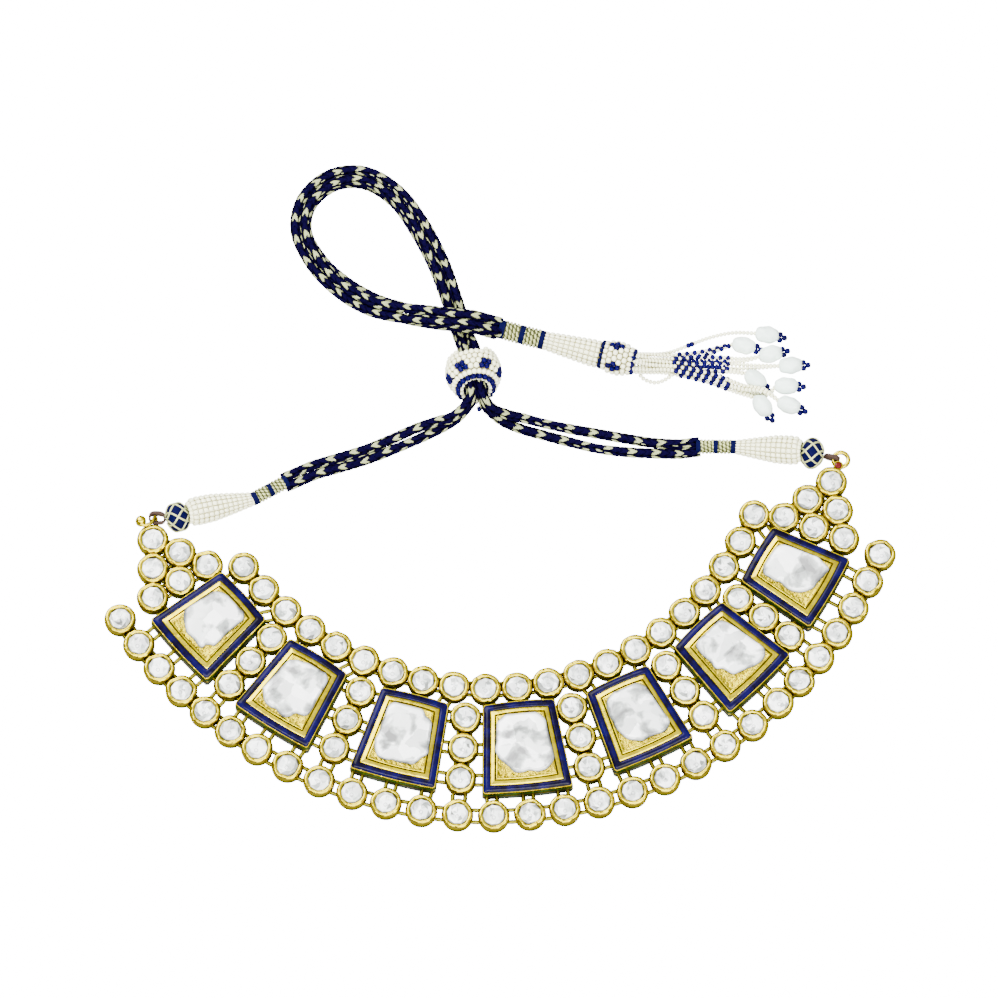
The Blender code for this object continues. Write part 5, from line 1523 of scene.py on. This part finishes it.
# %% Strings and pearls
DROPS = [  # place in the cap's mouth, points passed, the pearl's x and y, and its turn
    ((1.00, 0.00), [(36, 104.6, 0.8), (42, 106.8, 0.8), (47.2, 108.8, 0.8), (53, 109.8, 1.6)],
     (61.6, 109.1), -8),
    ((0.62, 0.78), [(36, 104.1, 1.7), (44.5, 105.2, 0.8), (50, 106.5, 1.6)],
     (55.7, 106.2), -12),
    ((0.62, -0.78), [(36, 102.7, 0.8), (46, 103.2, 0.8), (55, 102.6, 1.3)],
     (62.4, 103.9), 14),
    ((0.00, 0.00), [(36, 101.2, 0.9), (46, 101.2, 0.9), (57, 100.8, 1.2)],
     (67.4, 100.9), 4),
    ((-0.22, 0.97), [(36, 100.0, 2.3), (47, 99.8, 0.9), (52, 99.3, 1.4)],
     (58.5, 97.1), -40),
    ((-0.22, -0.97), [(36, 98.9, 0.8), (47, 97.3, 0.8), (54.5, 95.2, 0.8), (60.4, 93.2, 0.9)],
     (66.2, 95.4), 0),
    ((-0.90, -0.43), [(36, 97.5, 0.8), (47, 95.7, 0.8), (54, 93.6, 0.9)],
     (60.2, 90.1), -56),
    ((-0.90, 0.43), [(36, 98.2, 2.3), (47, 96.6, 2.2), (54.5, 94.5, 2.3), (60.4, 93.7, 3.7)],
     (66.8, 90.3), -20),
]
SAG = [(28.8, 100.6, 2.2), (30.0, 98.0, 1.0), (33.4, 96.7, 0.8), (36.6, 98.0, 0.8),
       (38.6, 99.9, 1.4)]
STRAY, SAGGING = 0, 6  # the string that strays, and the one with a spare loop beside it
PEARL_WIDTH, PEARL_LENGTH, PEARL_HEIGHT = 4.35, 6.0, 2.15
MOUTH = cap_start + CAP_RUN * 9.0
MOUTH_RADIUS = 2.35
MIDDLE_LINE = 102.3  # the y of the tassel's middle, towards which its strings are drawn
CAP_SIDE = np.array([-CAP_RUN[1], CAP_RUN[0], 0.0])
pearl_skin = plain_finish("drop_pearl", (0.84, 0.98, 0.90), 0.16, 0.25, 0.10, spread=0.86)


def string_line(drop):
    """A string's line: from the cap's mouth past its points to the hole of its pearl.

    Each point but the stray string's moves towards the tassel's middle line, by half of
    the way up to x = 36 mm and less beyond it, down to nothing at 58 mm.
    """
    (across, up), route, (x, y), turn = drop
    out = MOUTH + (CAP_SIDE * across + Z_WAY * up) * MOUTH_RADIUS
    pearl = np.array([x, y, PEARL_HEIGHT])
    hole = pearl - heading(turn) * 2.3
    route = np.array(route, float)
    if drop is not DROPS[STRAY]:
        drawn = np.clip((58 - route[:, 0]) / 22, 0, 1) * 0.5
        route[:, 1] += (MIDDLE_LINE - route[:, 1]) * drawn
    line = smooth_line(np.vstack([out - CAP_RUN * 0.8, out, route, hole]), 400)
    return line, pearl, heading(turn)


SEED_PITCH = 0.97
SEED, BLUE_SEED = (1.10, 0.98), (1.50, 1.20)  # width and length
STRING_GAP, YARN = 1.12, 0.3  # between two strings of a pair, and the yarn in each


def bead_places(line):
    """The middles of the seed beads along a line, with its direction there."""
    count = int(length_of(line) / SEED_PITCH)
    spots = smooth_line(line[:: max(1, len(line) // 60)], count + 1)
    return (spots[1:] + spots[:-1]) / 2, unit(np.diff(spots, axis=0))


def threaded(line, low=38.0, high=52.0, every=2, shift=0):
    """Seed beads along a line on a thin thread, with blue ones between two places in x.

    There every bead is blue, or every second one, counted from this shift on.
    """
    spots, ways = bead_places(line)
    number = np.arange(len(spots)) + shift
    blue = (spots[:, 0] > low) & (spots[:, 0] < high) & (number % every == 0)
    made = [sheet(beads(spots[~blue], ways[~blue], *SEED)), sheet(tube(line[::8], YARN, cols=7))]
    if blue.any():
        made.append(sheet(beads(spots[blue], ways[blue], *BLUE_SEED), paint=1))
    return made


def make_string(i, drop):
    """Two strings of seed beads side by side, their pearl and three blue beads past it.

    The two come together at the pearl and at the cap. The stray one is a single string
    with a few blue beads.
    """
    line, pearl, way = string_line(drop)
    share = np.linspace(0, 1, len(line))[:, None]
    side, _ = sides_of(line)
    apart = side * (STRING_GAP / 2) * np.clip(np.minimum(share * 6, (1 - share) * 3.5), 0, 1)
    if i == STRAY:
        body = threaded(line, 41.0, 43.2, every=1)
    else:
        body = threaded(line + apart, shift=i) + threaded(line - apart, shift=i + 1)
    if i == SAGGING:
        body += threaded(smooth_line(SAG, 200), 0.0, 0.0)
    pearl_grid = beads(pearl, way, PEARL_WIDTH, PEARL_LENGTH, rows=19, cols=29)
    swell = 1 + 0.05 * np.sin(2.3 * pearl_grid[..., 0] + i) * np.cos(1.9 * pearl_grid[..., 1])
    body.append(sheet(pearl + (pearl_grid - pearl) * swell[..., None], paint=2))
    level = np.array([-way[1], way[0], 0.0])
    tip = pearl + way * 3.55 - 0.7 * Z_WAY
    tips = tip + np.array([way * 0.85, level * 0.75 - way * 0.30, -level * 0.75 - way * 0.30])
    body.append(sheet(beads(tips, level, 1.55, 1.4), paint=1))
    new_piece(f"string_{i + 1}", body, [cream_bead, blue_bead, pearl_skin],
              "seed_pearl", f"tassel_strand_{i + 1}")


for i, drop in enumerate(DROPS):
    make_string(i, drop)

# %% [markdown]
# ## The studio
# The photo is bright and almost without shadows: a white table under a large white tent.
# A floor, a sky, two big soft lights and a long strip do that. The strip lies along the
# front edges of the enamel and the gold as a thin bright line. The photo's background was
# cleared to pure white, so the table glows for the camera alone and stays grey in the
# gold's reflections. A darker strip low in the sky gives the gold its shaded side.


# %% Floor, sky and lights
def soft_light(name, place, size, power, depth=None, target=(0.0, 0.07, 0.0)):
    """A square area light, or a strip of this depth, that faces the target. In metres."""
    data = bpy.data.lights.new(name, "AREA")
    data.shape = "RECTANGLE"
    data.size = size
    data.size_y = depth or size
    data.energy = power
    lamp = bpy.data.objects.new(name, data)
    bpy.context.scene.collection.objects.link(lamp)
    away = np.array(place) - np.array(target)
    lamp.location = place
    level = math.hypot(away[0], away[1])
    lamp.rotation_euler = (math.atan2(level, away[2]), 0.0, math.atan2(away[0], -away[1]))
    return lamp


FLOOR_HALF = 3.0  # half the table's width, in metres


def make_floor():
    """A plain white table, much larger than the choker, that glows for the camera alone."""
    made, tree, shader = new_finish("white_table", (0.18, 0.18, 0.18), 0.9)
    shader.inputs["Specular IOR Level"].default_value = 0.0
    shader.inputs["Emission Color"].default_value = (1.0, 1.0, 1.0, 1.0)
    sight = tree.nodes.new("ShaderNodeLightPath")
    glow = math_node(tree, "MULTIPLY", sight.outputs["Is Camera Ray"], 16.0)
    tree.links.new(glow, shader.inputs["Emission Strength"])
    mesh = bpy.data.meshes.new("table")
    corners = np.array([(-1, -1, 0), (1, -1, 0), (1, 1, 0), (-1, 1, 0)]) * FLOOR_HALF
    mesh.from_pydata(corners.tolist(), [], [(0, 1, 2, 3)])
    mesh.materials.append(made)
    table = bpy.data.objects.new("table", mesh)
    bpy.context.scene.collection.objects.link(table)


def make_sky():
    """A sky that is white overhead and darker towards the table's edge."""
    world = bpy.data.worlds.new("tent")
    world.use_nodes = True
    bpy.context.scene.world = world
    tree = world.node_tree
    back = tree.nodes["Background"]
    place = tree.nodes.new("ShaderNodeTexCoord")
    split = add(tree, "ShaderNodeSeparateXYZ", [("Vector", place.outputs["Generated"])])
    shade = ramp(tree, split.outputs["Z"], [(0.0, 0.05), (0.3, 0.16), (0.6, 0.6), (0.85, 1.0)])
    tree.links.new(shade, back.inputs["Color"])
    back.inputs["Strength"].default_value = 2.6


make_floor()
make_sky()
soft_light("key", (-0.55, 0.75, 0.85), 1.0, 50.0)
soft_light("fill", (0.25, -1.05, 0.60), 1.0, 26.0)
soft_light("strip", (0.0, -0.55, 0.95), 1.8, 36.0, depth=0.22)
print("the studio is lit")

# %% [markdown]
# ## The end

# %% The end
print("done")
